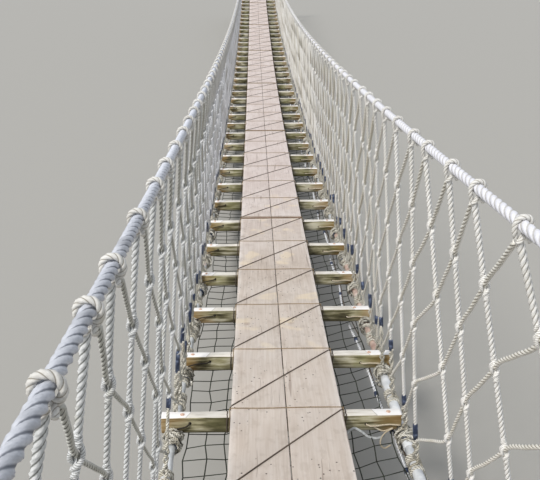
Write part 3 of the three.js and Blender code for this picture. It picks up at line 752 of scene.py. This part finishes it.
def rope_finish(name, light, middle, hollow, soil, soiled, hairs, relief, groove=(0.3, 0.47), painted_light=0.0):
    """Laid rope: rounded strands with fine slanting yarns, dark hollows that are partly dirt and partly
    painted shade, patches of soil, and a painted light that lifts the colour beyond 2.2 m along the bridge.
    """
    rope = Finish(name, roughness=0.8)
    phase, metres = rope.lay()
    strand = rope.sums("PINGPONG", rope.scaled(phase, 3.0), 0.5)
    yarn = rope.sums("SINE", rope.scaled(rope.scaled(metres, 9.0, phase), 2 * math.pi * hairs))
    dirt = rope.noise(14.0, 6.0)
    colour = rope.coats(
        rope.ramp(rope.blend(rope.noise(240.0, 3.0), 0.5, dirt), (0.36, middle), (0.56, light)),
        (soil, rope.between(dirt, soiled, soiled + 0.16), 0.7), (soil, rope.attribute("tone"), 0.8),
        # Painted light: bluish white laid over the rope beyond 2.2 m along the bridge, fully from 4.2 m on, by
        # the share given last.
        ("f8f9ff", rope.between(rope.split(rope.place)[1], 2.2, 4.2), painted_light),
        # Painted shade, partly dirt: the hollows between the strands are darkened.
        (hollow, rope.between(strand, *groove), 0.85))
    return rope.done(colour, rope.scaled(yarn, 0.02, rope.scaled(rope.scaled(strand, strand), -2.0)), relief)


rail_rope = {
    # The left rope's greyer, bluer colours are partly age and partly painted shade, as that rail lies in
    # shade.
    -1: rope_finish("greyed and shaded handrail rope", "e4e7f0", "cbcfd9", "595e68", "9ea1a8", 0.55, 26.0, 0.0016),
    1: rope_finish("white handrail rope", "eaeaf0", "dddde5", "bdbab4", "dad6cd", 0.62, 26.0, 0.0016),
}
t = np.linspace(0, 2 * np.pi, 97)
knot = KNOT_SIZE * spots(np.sin(t) + 2 * np.sin(2 * t), -1.6 * np.sin(3 * t), np.cos(t) - 2 * np.cos(2 * t))
for side, sign in SIDES:
    node = side + "_handrail_rope"
    knot_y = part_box(node)[0].y + KNOT_BEHIND
    parts = []
    for low, high, sides, ring in RAIL_GRADES:
        low, high = max(low, knot_y), min(high, SPAN - knot_y)
        y = np.linspace(low, high, int((high - low) / ring))
        grime = (0.5 * np.clip((1.5 - y) / 0.9, 0, 1))[None] if sign < 0 else 0.0
        relief = RAIL_RELIEF[sign] if ring < 0.1 else 0.0
        parts.append(tubes(rail_line(sign, y), RAIL_RADIUS, sides, relief=relief, lay=RAIL_LAY[sign],
                           start=low - knot_y, tone=grime))
    for y in (knot_y, SPAN - knot_y):
        parts.append(tubes(rail_line(sign, y) + knot, KNOT_ROPE_RADIUS, 12, relief=0.22, lay=0.066,
                           facing=(0, 1, 0)))
    make_piece(node + "_laid", parts, rail_rope[sign], node)


# Side nets. Thin laid hangers, each spliced in an eye round the handrail and lashed to the sleeve below, and
# braces that start at an eye, run down along the bridge and are tucked through the lay of every hanger.
NETS = 4
HANGERS_PER_NET = 25
HANGER_SPACING = 0.21
FIRST_HANGER = {"left": 0.315, "right": 0.25}
HANGERS = {"left": 98, "right": 99}
SHIFTED_HANGERS = {
    "left": {1: -0.025, 2: -0.075, 3: -0.045, 4: -0.015, 5: -0.025, 6: -0.015, 10: -0.02},
    "right": {3: -0.04, 4: 0.01, 6: 0.03, 8: 0.03, 9: 0.03, 10: 0.025, 11: 0.02, 13: 0.045, 14: 0.04,
              15: 0.04},
}
SHIFTED_FEET = {
    "left": {0: -0.15, 1: -0.035, 2: 0.13, 3: 0.045, 4: -0.02, 5: -0.05, 6: -0.215, 7: -0.105},
    "right": {3: -0.15, 4: -0.08, 5: -0.03, 6: -0.125, 7: 0.025, 8: -0.02, 9: 0.04, 10: 0.115},
}
HANGER_ASIDE = {"left": -0.004, "right": -0.008}
HANGER_UNDER_RAIL = {"left": 0.0134, "right": 0.0142}
HANGER_RADIUS = {"left": 0.0068, "right": 0.0077}
HANGER_LAY = 0.045
CLEAR_OF_BEARER = 0.036
BRACE_RADIUS = {"left": 0.0053, "right": 0.0066}
BRACE_LAY = 0.068
BRACE_TOP_DROP = 0.05
BRACE_FOOT_RISE = 0.105
BRACE_STEPS = 5
BRACE_CURVE = 1.2
TUCK_REACH = 0.018
GUY_START = {"left": 1.3, "right": 1.85}
GUY_CLEAR_RUN = 0.15
GUY_SPREAD = {"left": 0.1, "right": 0.2}
GUY_STRAIGHT_RUN = {"left": 1.5, "right": 0.8}
GUY_RADIUS = 0.008
GUY_DROP = 0.014
SLEEVE_CORNER = SLEEVE_RADIUS / math.cos(math.pi / 6)
GUY_START_X = CABLE_X + math.sqrt((SLEEVE_CORNER + GUY_RADIUS + 0.0015) ** 2 - GUY_DROP ** 2)
TAPE_RISE = {"left": {7: 0.3, 8: 0.26, 9: 0.3, 11: 0.18, 12: 0.2},
             "right": {7: 0.115, 8: 0.135, 9: 0.25, 10: 0.24, 11: 0.17}}
TAPE_LENGTH = {"left": {7: 0.05, 8: 0.11, 9: 0.1, 11: 0.11, 12: 0.04}, "right": {}}
EYE_X = (-0.0152, -0.016, -0.0137, -0.0076, 0.0, 0.0079, 0.014, 0.0158, 0.0141, 0.0092, 0.003)
EYE_Z = (-0.011, -0.001, 0.0086, 0.0147, 0.0168, 0.0145, 0.0076, -0.002, -0.011, -0.0172, -0.0204)
EYE_TAIL = ((0.001, 0.002, -0.023), (0.006, -0.005, -0.0215), (0.0085, -0.012, -0.022),
            (0.0095, -0.018, -0.025))
NEAR, MIDDLE, FAR = range(3)
GRADE_LIMITS = (2.25, 5.6)
STRAND_RADIUS = 0.0042
LASHING_ROPE_RADIUS = 0.0056


def guy_x(side, y):
    """How far out the guy rope lies: on a parabola past its start, then straight on to its stake."""
    run = np.maximum(GUY_START[side] - y, 0)
    curved = np.minimum(run, GUY_STRAIGHT_RUN[side])
    return GUY_START_X + GUY_SPREAD[side] * curved * (2 * run - curved)


def hanger_ends(side, sign):
    """The line of every hanger, from beside the handrail's middle to the sleeve's top or the guy rope."""
    count = HANGERS[side]
    y = FIRST_HANGER[side] + np.arange(count) * HANGER_SPACING
    y = y + changed(np.zeros(count), SHIFTED_HANGERS[side])
    wanted = y + changed(np.zeros(count), SHIFTED_FEET[side])
    bearer = np.round(wanted / BAY) * BAY
    bearer = bearer + (BOARD_THICKNESS + BEARER_DEPTH / 2) * np.sin(slope_at(bearer))
    away = wanted - bearer
    beside = bearer + np.where(away < 0, -1, 1) * CLEAR_OF_BEARER
    foot_y = np.where(np.abs(away) < CLEAR_OF_BEARER, beside, wanted)
    from_end = np.minimum(foot_y, SPAN - foot_y)
    guyed = from_end < GUY_START[side] - GUY_CLEAR_RUN
    foot = spots(sign * np.where(guyed, guy_x(side, from_end), CABLE_X), foot_y,
                 deck_top(foot_y) - CABLE_DROP + np.where(guyed, -GUY_DROP, SLEEVE_CORNER + 0.0014))
    rail = rail_line(sign, y)
    hung = rail + [HANGER_ASIDE[side], 0, -HANGER_UNDER_RAIL[side]]
    top = hung + (hung - foot) * (HANGER_UNDER_RAIL[side] / (hung - foot)[:, 2:])
    return rail, top, foot, guyed


def brace_down(length, step):
    """How far down a hanger of that length the brace of that step is tucked through it."""
    braced = length - RAIL_RADIUS - BRACE_TOP_DROP - BRACE_FOOT_RISE
    return RAIL_RADIUS + BRACE_TOP_DROP + braced * (step / BRACE_STEPS) ** BRACE_CURVE


def swelling(down, tucks, size, reach):
    """A smooth rise of the given size round each tuck: size * exp(-((distance) / reach) squared), summed."""
    return size * np.exp(-((down[..., None] - tucks[:, None, :]) / reach) ** 2).sum(-1)


def hanger_parts(side, top, foot, first_steps, grade, rise):
    """Hangers of one grade down to their tapes: laid rope, opened into its three strands at each tuck."""
    length = np.linalg.norm(foot - top, axis=1)
    axis = unit(foot - top)
    steps = np.arange(1, BRACE_STEPS)
    tucks = np.where(steps <= first_steps[:, None], brace_down(length[:, None], steps), 9.0)
    start, stop = 0.026, length - rise - 0.006
    down = start + (stop - start)[:, None] * np.linspace(0, 1, (300, 190, 50)[grade])
    thick = HANGER_RADIUS[side] + 0.0011 * np.clip((0.15 - down) / 0.1, 0, 1)
    path = top[:, None] + axis[:, None] * down[..., None]
    if grade != NEAR:
        wave = 2 * np.pi * (down / 0.37 + rng.random((len(top), 1)))
        path = path + 0.0035 * spots(np.sin(wave), np.cos(wave * 0.83), 0)
    soil = (0.2, 0.5, 0.75)[grade] * rng.random((len(top), 1)) ** 2
    if grade == FAR:
        thick = thick + swelling(down, tucks, 0.0032, 0.016)
        return [tubes(path, thick, 4, lay=HANGER_LAY, facing=(0, 1, 0), start=start, tone=soil)]
    closed = thick - swelling(down, tucks, 0.0052, 0.018)
    parts = [tubes(path, closed, relief=(0.18, 0.36)[grade], lay=HANGER_LAY, facing=(0, 1, 0), start=start,
                   tone=soil)]
    whose, which = np.nonzero(tucks < 5)
    local = np.linspace(-0.04, 0.04, (17, 9)[grade])
    at = tucks[whose, which][:, None] + local
    centre = top[whose][:, None] + axis[whose][:, None] * at[..., None]
    normal = unit(np.array([0.0, 1.0, 0.0]) - axis[whose] * axis[whose][:, 1:2])
    across = np.cross(axis[whose], normal)
    opened = np.exp(-(local / 0.019) ** 2)
    swing = (0.003 + 0.0062 * opened)[:, None]
    for parting in (1.57, 4.25, 5.2):
        angle = (parting + 2 * np.pi * local / HANGER_LAY * (1 - opened))[:, None]
        strand = centre + swing * (np.cos(angle) * normal[:, None] + np.sin(angle) * across[:, None])
        parts.append(tubes(strand, STRAND_RADIUS, (6, 4)[grade], lay=0.012, facing=(0, 1, 0)))
    return parts


def brace_parts(side, rail, top, foot, pick, grade, slack):
    """Braces from the picked hangers' eyes: each runs down to the next hangers and slants through them."""
    parts = []
    total = len(top)
    length = np.linalg.norm(foot - top, axis=1, keepdims=True)
    axis = (foot - top) / length
    soil = 0.2 * (side == "left") if grade == NEAR else 0.7 * rng.random(total) ** 2
    soil = soil + slack * 15
    for steps in range(1, BRACE_STEPS + 1):
        starts = pick[np.minimum(BRACE_STEPS, total - 1 - pick) == steps]
        if len(starts) == 0:
            continue
        tucked = [(top + axis * brace_down(length, step))[starts + step] for step in range(steps + 1)]
        controls = [rail[starts] + {"left": [0.01, 0.002, -0.024], "right": [-0.008, 0.004, -0.034]}[side]]
        rings = []
        for step in range(1, steps + 1):
            here = tucked[step]
            course = unit(tucked[min(step + 1, steps)] - tucked[step - 1])
            slant = unit(0.88 * course + 0.12 * axis[starts + step]) * TUCK_REACH
            middle = (controls[-1] + here - slant) / 2
            middle[:, 2] -= slack[starts] * (0.35 + step / BRACE_STEPS) * (1.0, 2.2, 2.2)[grade]
            controls += [middle, here - slant, here]
            rings += ([24, 24, 6], [6, 6, 2], [2, 3, 1])[grade]
            if step < BRACE_STEPS:
                controls.append(here + slant)
                rings.append((6, 2, 1)[grade])
        sides, relief = ((6, 0.26), (6, 0.0), (4, 0.0))[grade]
        parts.append(tubes(eased_path(np.stack(controls, axis=1), rings), BRACE_RADIUS[side], sides,
                           relief=relief, lay=BRACE_LAY, facing=(1, 0, 0), tone=soil[starts][:, None]))
    return parts


def eye_parts(rail, top, foot, grade, skew):
    """Spliced eyes: the hanger goes up over the handrail, down its right side and hooks back into itself."""
    down = unit(foot - top)[:, None]
    loop = rail[:, None] + spots(EYE_X, skew * np.linspace(-1, 1, len(EYE_X)), EYE_Z)
    leg = top[:, None] + down * [[0.058], [0.041], [0.026]] + [[0, 0, 0], [-0.002, 0, 0], [-0.005, 0, 0]]
    hook = top[:, None] + down * [[0.027], [0.034]] + [[0.001, -0.008, 0], [-0.007, -0.006, 0]]
    rings, sides, relief = ((5, 9, 0.16), (2, 6, 0.0), (1, 4, 0.0))[grade]
    path = eased_path(np.concatenate([leg, loop, hook], axis=1), rings)
    thick = np.interp(np.linspace(0, 1, path.shape[1]), [0, 0.2, 0.5, 0.85, 1],
                      [0.0052, 0.0057, 0.006, 0.0057, 0.0048])
    tail = eased_path(rail[:, None] + EYE_TAIL, (4, 1, 1)[grade])
    return [tubes(path, thick, sides, relief=relief, lay=0.032, facing=(0, 1, 0.1), tone=(0.12, 0, 0)[grade]),
            tubes(tail, 0.0049, sides, relief=relief * 0.8, lay=0.024, facing=(1, 0, 1), tone=0.2)]


def foot_parts(sign, foot, top, guyed, grade, rise):
    """Hangers' lower ends: two twisted legs go down from the tape and are wound round what carries them."""
    carrier = np.where(guyed[:, None], foot, foot_line(sign, foot[:, 1]))[:, None]
    thick = np.where(guyed, GUY_RADIUS, SLEEVE_RADIUS)[:, None] + 0.005
    up = unit(top - foot)[:, None]
    count, leads, sides = ((30, 9, 6), (20, 6, 6), (10, 3, 4))[grade]
    share = np.linspace(0, 1, count)
    height = np.linspace(1, 0, leads) ** 1.2 * (rise[:, None] - 0.02) + 0.03
    seed = rng.random((len(foot), 1)) * 6
    parts = []
    for lean in (-1, 1):
        turns = 2.6 + 0.7 * rng.random((len(foot), 1))
        angle = np.pi / 2 - lean * share * turns * 2 * np.pi
        swell = thick + 0.006 * np.sin(share * np.pi * 3 + seed) ** 2
        along = lean * (0.008 + 0.03 * share) + 0.008 * np.sin(share * 9 + lean)
        wound = carrier + spots(swell * np.cos(angle), along, swell * np.sin(angle))
        twist = height / 0.085 * 2 * np.pi + seed + (0 if lean < 0 else np.pi)
        spread = (0.0062 + 0.004 * np.sin(height * 60 + seed) ** 2)[..., None]
        lead = foot[:, None] + up * height[..., None] + spread * spots(np.cos(twist), np.sin(twist), 0)
        path = eased_path(np.concatenate([lead, wound], axis=1), (2, 1, 1)[grade])
        parts.append(tubes(path, LASHING_ROPE_RADIUS, sides, lay=0.034, facing=(0, 1, 0.02),
                           tone=0.1 + 0.3 * rng.random((len(foot), 1))))
    return parts


def tape_part(foot, top, lengths, radius, rise):
    """Bands of tape round the ropes: a tube with soft ends, from the rise above the foot."""
    share = np.array([0.0, 0.03, 0.5, 0.97, 1.0])
    height = rise[:, None] + lengths[:, None] * share
    path = foot[:, None] + unit(top - foot)[:, None] * height[..., None]
    return tubes(path, radius * np.array([0.72, 0.97, 1.0, 0.97, 0.72]), 8, lay=1.0, facing=(0, 1, 0))


def tape_finish(name, colour, light):
    """Old PVC tape: wrinkled rings round the rope, scuffed paler in patches."""
    tape = Finish(name, roughness=0.55)
    wrap = tape.sums("SINE", tape.scaled(tape.lay()[1], 2 * math.pi / 0.011))
    scuff = tape.noise(60.0, 5.0)
    scuffed = tape.coats(colour, (light, tape.between(scuff, 0.48, 0.66), 1.0))
    return tape.done(scuffed, tape.scaled(wrap, 0.4, scuff), 0.0012)


hanger_rope = {
    # The left hangers' greyer colours and darker hollows are partly age and partly painted shade; the last
    # number is a painted light that lifts them beyond 2.2 m along the bridge.
    "left": rope_finish("greyed and shaded hanger rope", "e8e9ea", "cbcdcd", "5c5e58", "a3a292", 0.56, 14.0, 0.0016,
                        (0.33, 0.47), 0.75),
    "right": rope_finish("white hanger rope", "faf9f7", "e9e7e2", "8b8577", "d2ccbb", 0.64, 14.0, 0.0016,
                         (0.33, 0.47)),
}
brace_rope = {
    # The left braces' darker hollows are partly dirt and partly painted shade; the last number is a painted
    # light that lifts them beyond 2.2 m along the bridge.
    "left": rope_finish("olive and shaded brace rope", "dcdcd8", "bcbcb5", "3c3c33", "8a8872", 0.58, 14.0, 0.0026,
                        (0.29, 0.46), 0.45),
    "right": rope_finish("beige brace rope", "f8f5ee", "e8e4d8", "857d68", "c6bfaa", 0.6, 14.0, 0.0024,
                         (0.3, 0.46)),
}
eye_rope = rope_finish("beige eye rope", "e6e5e2", "cfcdc9", "857d6f", "b5ad9a", 0.6, 14.0, 0.0012,
                       (0.36, 0.48))
soiled_rope = rope_finish("soiled lashing rope", "efece3", "cfcaba", "5d5647", "98907b", 0.5, 14.0, 0.001,
                          (0.22, 0.42))
navy_tape = tape_finish("navy tape", "263149", "66728c")

for side, sign in SIDES:
    rail, top, foot, guyed = hanger_ends(side, sign)
    loose = rng.random(len(top)) ** 2 * 0.007
    tape_rise = changed(0.12 + 0.1 * rng.random(len(top)), TAPE_RISE[side])
    tape_length = changed(0.05 + 0.03 * rng.random(len(top)), TAPE_LENGTH[side])
    for net in range(NETS):
        whole = np.arange(net * HANGERS_PER_NET, min((net + 1) * HANGERS_PER_NET, len(top)))
        grades = np.searchsorted(GRADE_LIMITS, top[whole, 1], side="right")
        hangers, braces, eyes, feet = [], [], [], []
        for grade in (NEAR, MIDDLE, FAR):
            pick = whole[grades == grade]
            if len(pick) == 0:
                continue
            hangers += hanger_parts(side, top[pick], foot[pick], pick, grade, tape_rise[pick])
            braces += brace_parts(side, rail, top, foot, pick, grade, loose)
            eyes += eye_parts(rail[pick], top[pick], foot[pick], grade,
                              0.004 * (rng.random((len(pick), 1)) - 0.2))
            feet += foot_parts(sign, foot[pick], top[pick], guyed[pick], grade, tape_rise[pick])
        tapes = [tape_part(foot[whole], top[whole], tape_length[whole], HANGER_RADIUS[side] + 0.0022,
                           tape_rise[whole])]
        for name, parts, material in (("hangers", hangers, hanger_rope[side]),
                                      ("braces", braces, brace_rope[side]), ("rail_eyes", eyes, eye_rope),
                                      ("foot_lashings", feet, soiled_rope), ("tape_bands", tapes, navy_tape)):
            make_piece(f"{side}_{name}_{net + 1}", parts, material, f"{side}_side_net_{net + 1}")


# Guy ropes. The nets' foot ropes: thick laid ropes that leave the sleeve and splay out to a stake at each
# corner, round which each is spliced in an eye.
GUY_LAY = 0.05
GUY_EYE_Y = -0.06
STAKE_RADIUS = 0.024
guy_rope = rope_finish("weathered guy rope", "d6d4cb", "b5b2a4", "57523f", "8c8a6a", 0.5, 18.0, 0.0014)
around = np.linspace(0.32, 2 * np.pi - 0.32, 60)


def guy_line(side, sign, y):
    return spots(sign * guy_x(side, y), y, deck_top(y) - CABLE_DROP - GUY_DROP)


for side, sign in SIDES:
    for net, end, rings in ((1, "near", 360), (NETS, "far", 200)):
        y = np.linspace(GUY_START[side] + 0.06, GUY_EYE_Y + STAKE_RADIUS + GUY_RADIUS + 0.03, rings)
        line = guy_line(side, sign, y)
        reach = STAKE_RADIUS + GUY_RADIUS + 0.0006
        ring = guy_line(side, sign, GUY_EYE_Y) + reach * spots(np.sin(around) * sign, np.cos(around), 0)
        beside = [0.004 * sign, 0, 0]
        ring = np.concatenate([line[-1:] + beside, ring, line[-1:] - beside])
        if end == "far":
            line, ring = line * [1, -1, 1] + [0, SPAN, 0], ring * [1, -1, 1] + [0, SPAN, 0]
        parts = [tubes(line, GUY_RADIUS, relief=0.25, lay=GUY_LAY),
                 tubes(eased_path(ring, 2), GUY_RADIUS * 0.9, relief=0.22, lay=GUY_LAY)]
        make_piece(f"{side}_guy_rope_{end}", parts, guy_rope, f"{side}_side_net_{net}")


# Cable lashings. Dirty white rope wound untidily round the sleeve in a thick bundle on the near side of every
# bearer, where the nets are made off, and a smaller one on its far side. Some bundles are taped dark.
BUNDLE_TAPE = ((0, 0.018), (0, 0.0235), (0.0015, 0.0245), (0.0145, 0.0248), (0.016, 0.0235), (0.016, 0.018))


def bundle(sign, y, away_y, turns, rings, layer=0.0, length=0.072, hand=1):
    """Rope wound round the sleeve to and fro: its second half lies over the first, each turn askew."""
    share = np.linspace(0, 1, rings)
    seed = rng.random((len(y), 1)) * 6
    angle = hand * turns * share * 2 * np.pi + 0.7 * np.sin(share * 13 + seed)
    second = layer + 0.007 * np.clip((share - 0.45) / 0.1, 0, 1)
    away = SLEEVE_RADIUS + 0.0048 + second + 0.006 * np.sin(share * 31 + seed * 2) ** 2
    place = 0.5 - 0.5 * np.cos(share * 2.4 * np.pi + seed)
    at = y[:, None] + away_y * (0.01 + length * place + 0.01 * np.sin(angle + seed))
    return foot_line(sign, at) + spots(away * np.cos(angle), 0, away * np.sin(angle))


def slack_loops(sign, y, rings):
    """Open loops that hang loosely round the bundle, inwards and down."""
    share = np.linspace(0, 1, rings)
    seed = rng.random((len(y), 1)) * 6
    angle = 2.2 * share * 2 * np.pi + seed
    reach = 0.028 + 0.009 * np.sin(share * 9 + seed)
    at = y[:, None] - 0.012 - 0.095 * share - 0.014 * np.sin(angle * 0.7)
    return foot_line(sign, at) + spots(reach * np.cos(angle) - 0.006 * sign, 0,
                                       reach * 0.85 * np.sin(angle) + 0.002)


for side, sign in SIDES:
    for net in range(NETS):
        low = SPAN / NETS * net
        y = bearer_y[(bearer_y >= low) & (bearer_y < low + SPAN / NETS)]
        face = y - BEARER_WIDTH / 2
        rings, sides, relief = (120, 6, 0.28) if net == 0 else (44, 4, 0.0)
        paths = ((bundle(sign, face, -1, 8, rings), 0.2),
                 (bundle(sign, face, -1, 4, rings // 2, 0.01, 0.1, -1), 0.05),
                 (slack_loops(sign, face, rings // 3), 0.0),
                 (bundle(sign, y + BEARER_WIDTH / 2, 0.5, 4, rings // 2), 0.1))
        parts = [tubes(path, LASHING_ROPE_RADIUS, sides, relief=relief, lay=0.036, facing=(0, 1, 0.02),
                       tone=tone) for path, tone in paths]
        node = f"{side}_side_net_{net + 1}"
        make_piece(f"{side}_cable_lashings_{net + 1}", parts, soiled_rope, node)
        taped = y[rng.random(len(y)) < 0.6] - 0.112
        bands = [turned(seat, (0, 1, 0), BUNDLE_TAPE, 12) for seat in foot_line(sign, taped)]
        make_piece(f"{side}_bundle_tapes_{net + 1}", bands, navy_tape, node, sharp=40)


# Stakes. Round steel pickets, one at each corner of the bridge, dull and rusty like the other steel, their
# heads mushroomed by the hammer.
STAKE_PROFILE = ((0.0, 0.022), (0.0015, STAKE_RADIUS), (0.07, STAKE_RADIUS), (0.1345, STAKE_RADIUS),
                 (0.1365, 0.0325), (0.139, 0.034), (0.146, 0.0338), (0.1488, 0.031), (0.15, 0.024),
                 (0.1498, 0.01))
stake_steel = dull_zinc("stake steel", "9a9d9c", "6c6f6e", 0.55)
for side, _ in SIDES:
    for end in ("near", "far"):
        node = f"{end}_{side}_stake"
        low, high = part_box(node)
        foot = ((low.x + high.x) / 2, (low.y + high.y) / 2, 0.0)
        stake = turned(foot, (0, 0, 1), STAKE_PROFILE, 32, facing=(0, 1, 0))
        make_piece(node + "_steel", [stake], stake_steel, node, sharp=40)


# Netting rope and safety netting. A slack white edge rope tied under the right-hand bearer ends, and dark
# square-mesh netting that hangs in shallow bellies below the bearers, knotted from thin twine.
NETTING_ROPE_RADIUS = 0.009
NETTING_ROPE_X = 0.395
SHIFTED_NETTING_ROPE = {3: 0.04, 4: 0.05, 5: 0.015}
NETTING_SLACK = 0.035
NETTING_TAPE = ((0, 0.0095), (0.001, 0.0105), (0.023, 0.0107), (0.024, 0.0095))
MESH_SIZE = 0.085
TWINE_RADIUS = 0.0026

ties = spots(NETTING_ROPE_X + changed(np.zeros(BAYS), SHIFTED_NETTING_ROPE)[1:], bearer_y,
             deck_top(bearer_y) + UNDER_BEARER - NETTING_ROPE_RADIUS - 0.0006)
ties[1::2, 2] -= NETTING_SLACK
bellies = (ties[1:] + ties[:-1]) / 2
bellies[:, 0] += 0.012 * np.sin(np.arange(len(bellies)) * 2.1)
bellies[:, 2] -= 0.012
bellies[[0, 2], 0] += 0.02
points = np.empty((len(ties) + len(bellies), 3))
points[0::2] = ties
points[1::2] = bellies
line = eased_path(points, 12)[0]
white_rope = rope_finish("white netting rope", "eff1f5", "d9dbe0", "8a8a88", "c3c2b8", 0.6, 18.0, 0.0014)
edge_rope = tubes(line, NETTING_ROPE_RADIUS, relief=0.2, lay=0.055)
bands = [turned(place - [0, 0.012, 0], (0, 1, 0), NETTING_TAPE, 8) for place in line[8::13]]
beside = line + spots(0.014 + 0.008 * np.sin(line[:, 1] * 5.0), 0, 0.004 + 0.008 * np.cos(line[:, 1] * 4.1))

x, y = np.meshgrid(np.linspace(-0.43, 0.43, 11), np.arange(0.55, SPAN - 0.5, MESH_SIZE), indexing="ij")
belly = 0.035 * (1 - (x / 0.44) ** 2) + 0.01 * (1 - np.cos(2 * np.pi * y / BAY)) / 2
knots = spots(x + 0.008 * np.sin(3.1 * y + 9 * x), y + 0.2 * x, deck_top(y) + UNDER_BEARER - 0.012 - belly)
knots[..., :2] += 0.017 * (rng.random(knots[..., :2].shape) - 0.5)
knots[..., 2] -= 0.014 * rng.random(knots.shape[:2])
twine = cord_finish("dark netting twine", "3f4539", "14170f", "292e23")
netting = [tubes(paths, TWINE_RADIUS, 4, lay=0.02) for paths in (knots, knots.transpose(1, 0, 2))]
for name, parts, material in (("netting_edge_rope", [edge_rope], white_rope),
                              ("netting_rope_bands", bands, navy_tape),
                              ("dark_netting_cord", [tubes(beside, 0.0032, 4, lay=0.014)], dark_cord),
                              ("safety_netting", netting, twine)):
    make_piece(name, parts, material, "right_netting_rope")


# Stage. A plain pale floor under the lowest point, a broad soft key light from the left behind the camera, a
# pale surround, and the camera at eye height over the near end.
FLOOR_LEVEL = -0.62
bpy.context.scene.view_settings.view_transform = "Standard"
floor_mesh = bpy.data.meshes.new("floor")
corners = [(-90, -80), (90, -80), (90, 100), (-90, 100)]
floor_mesh.from_pydata([(x, y, FLOOR_LEVEL) for x, y in corners], [], [(0, 1, 2, 3)])
floor_mesh.materials.append(Finish("pale floor", roughness=0.95).done("a5a39e"))
placed("floor", floor_mesh)

world = bpy.data.worlds.new("pale surround")
bpy.context.scene.world = world
world.use_nodes = True
surround = world.node_tree.nodes["Background"].inputs
surround["Color"].default_value = shade("e6ebf2")
surround["Strength"].default_value = 0.75

key = bpy.data.lights.new("key", "SUN")
key.energy = 2.6
key.angle = math.radians(14)
key.color = (1.0, 0.97, 0.92)
placed("key", key, turn=(38, -22, -20))

lens = bpy.data.cameras.new("eye height")
lens.sensor_width = 36.0
lens.lens = 44.8
lens.clip_start = 0.05
lens.clip_end = 400.0
bpy.context.scene.camera = placed("eye height", lens, (-0.13, -0.25, 1.795), (90 - 24.5, 0, -1.32))
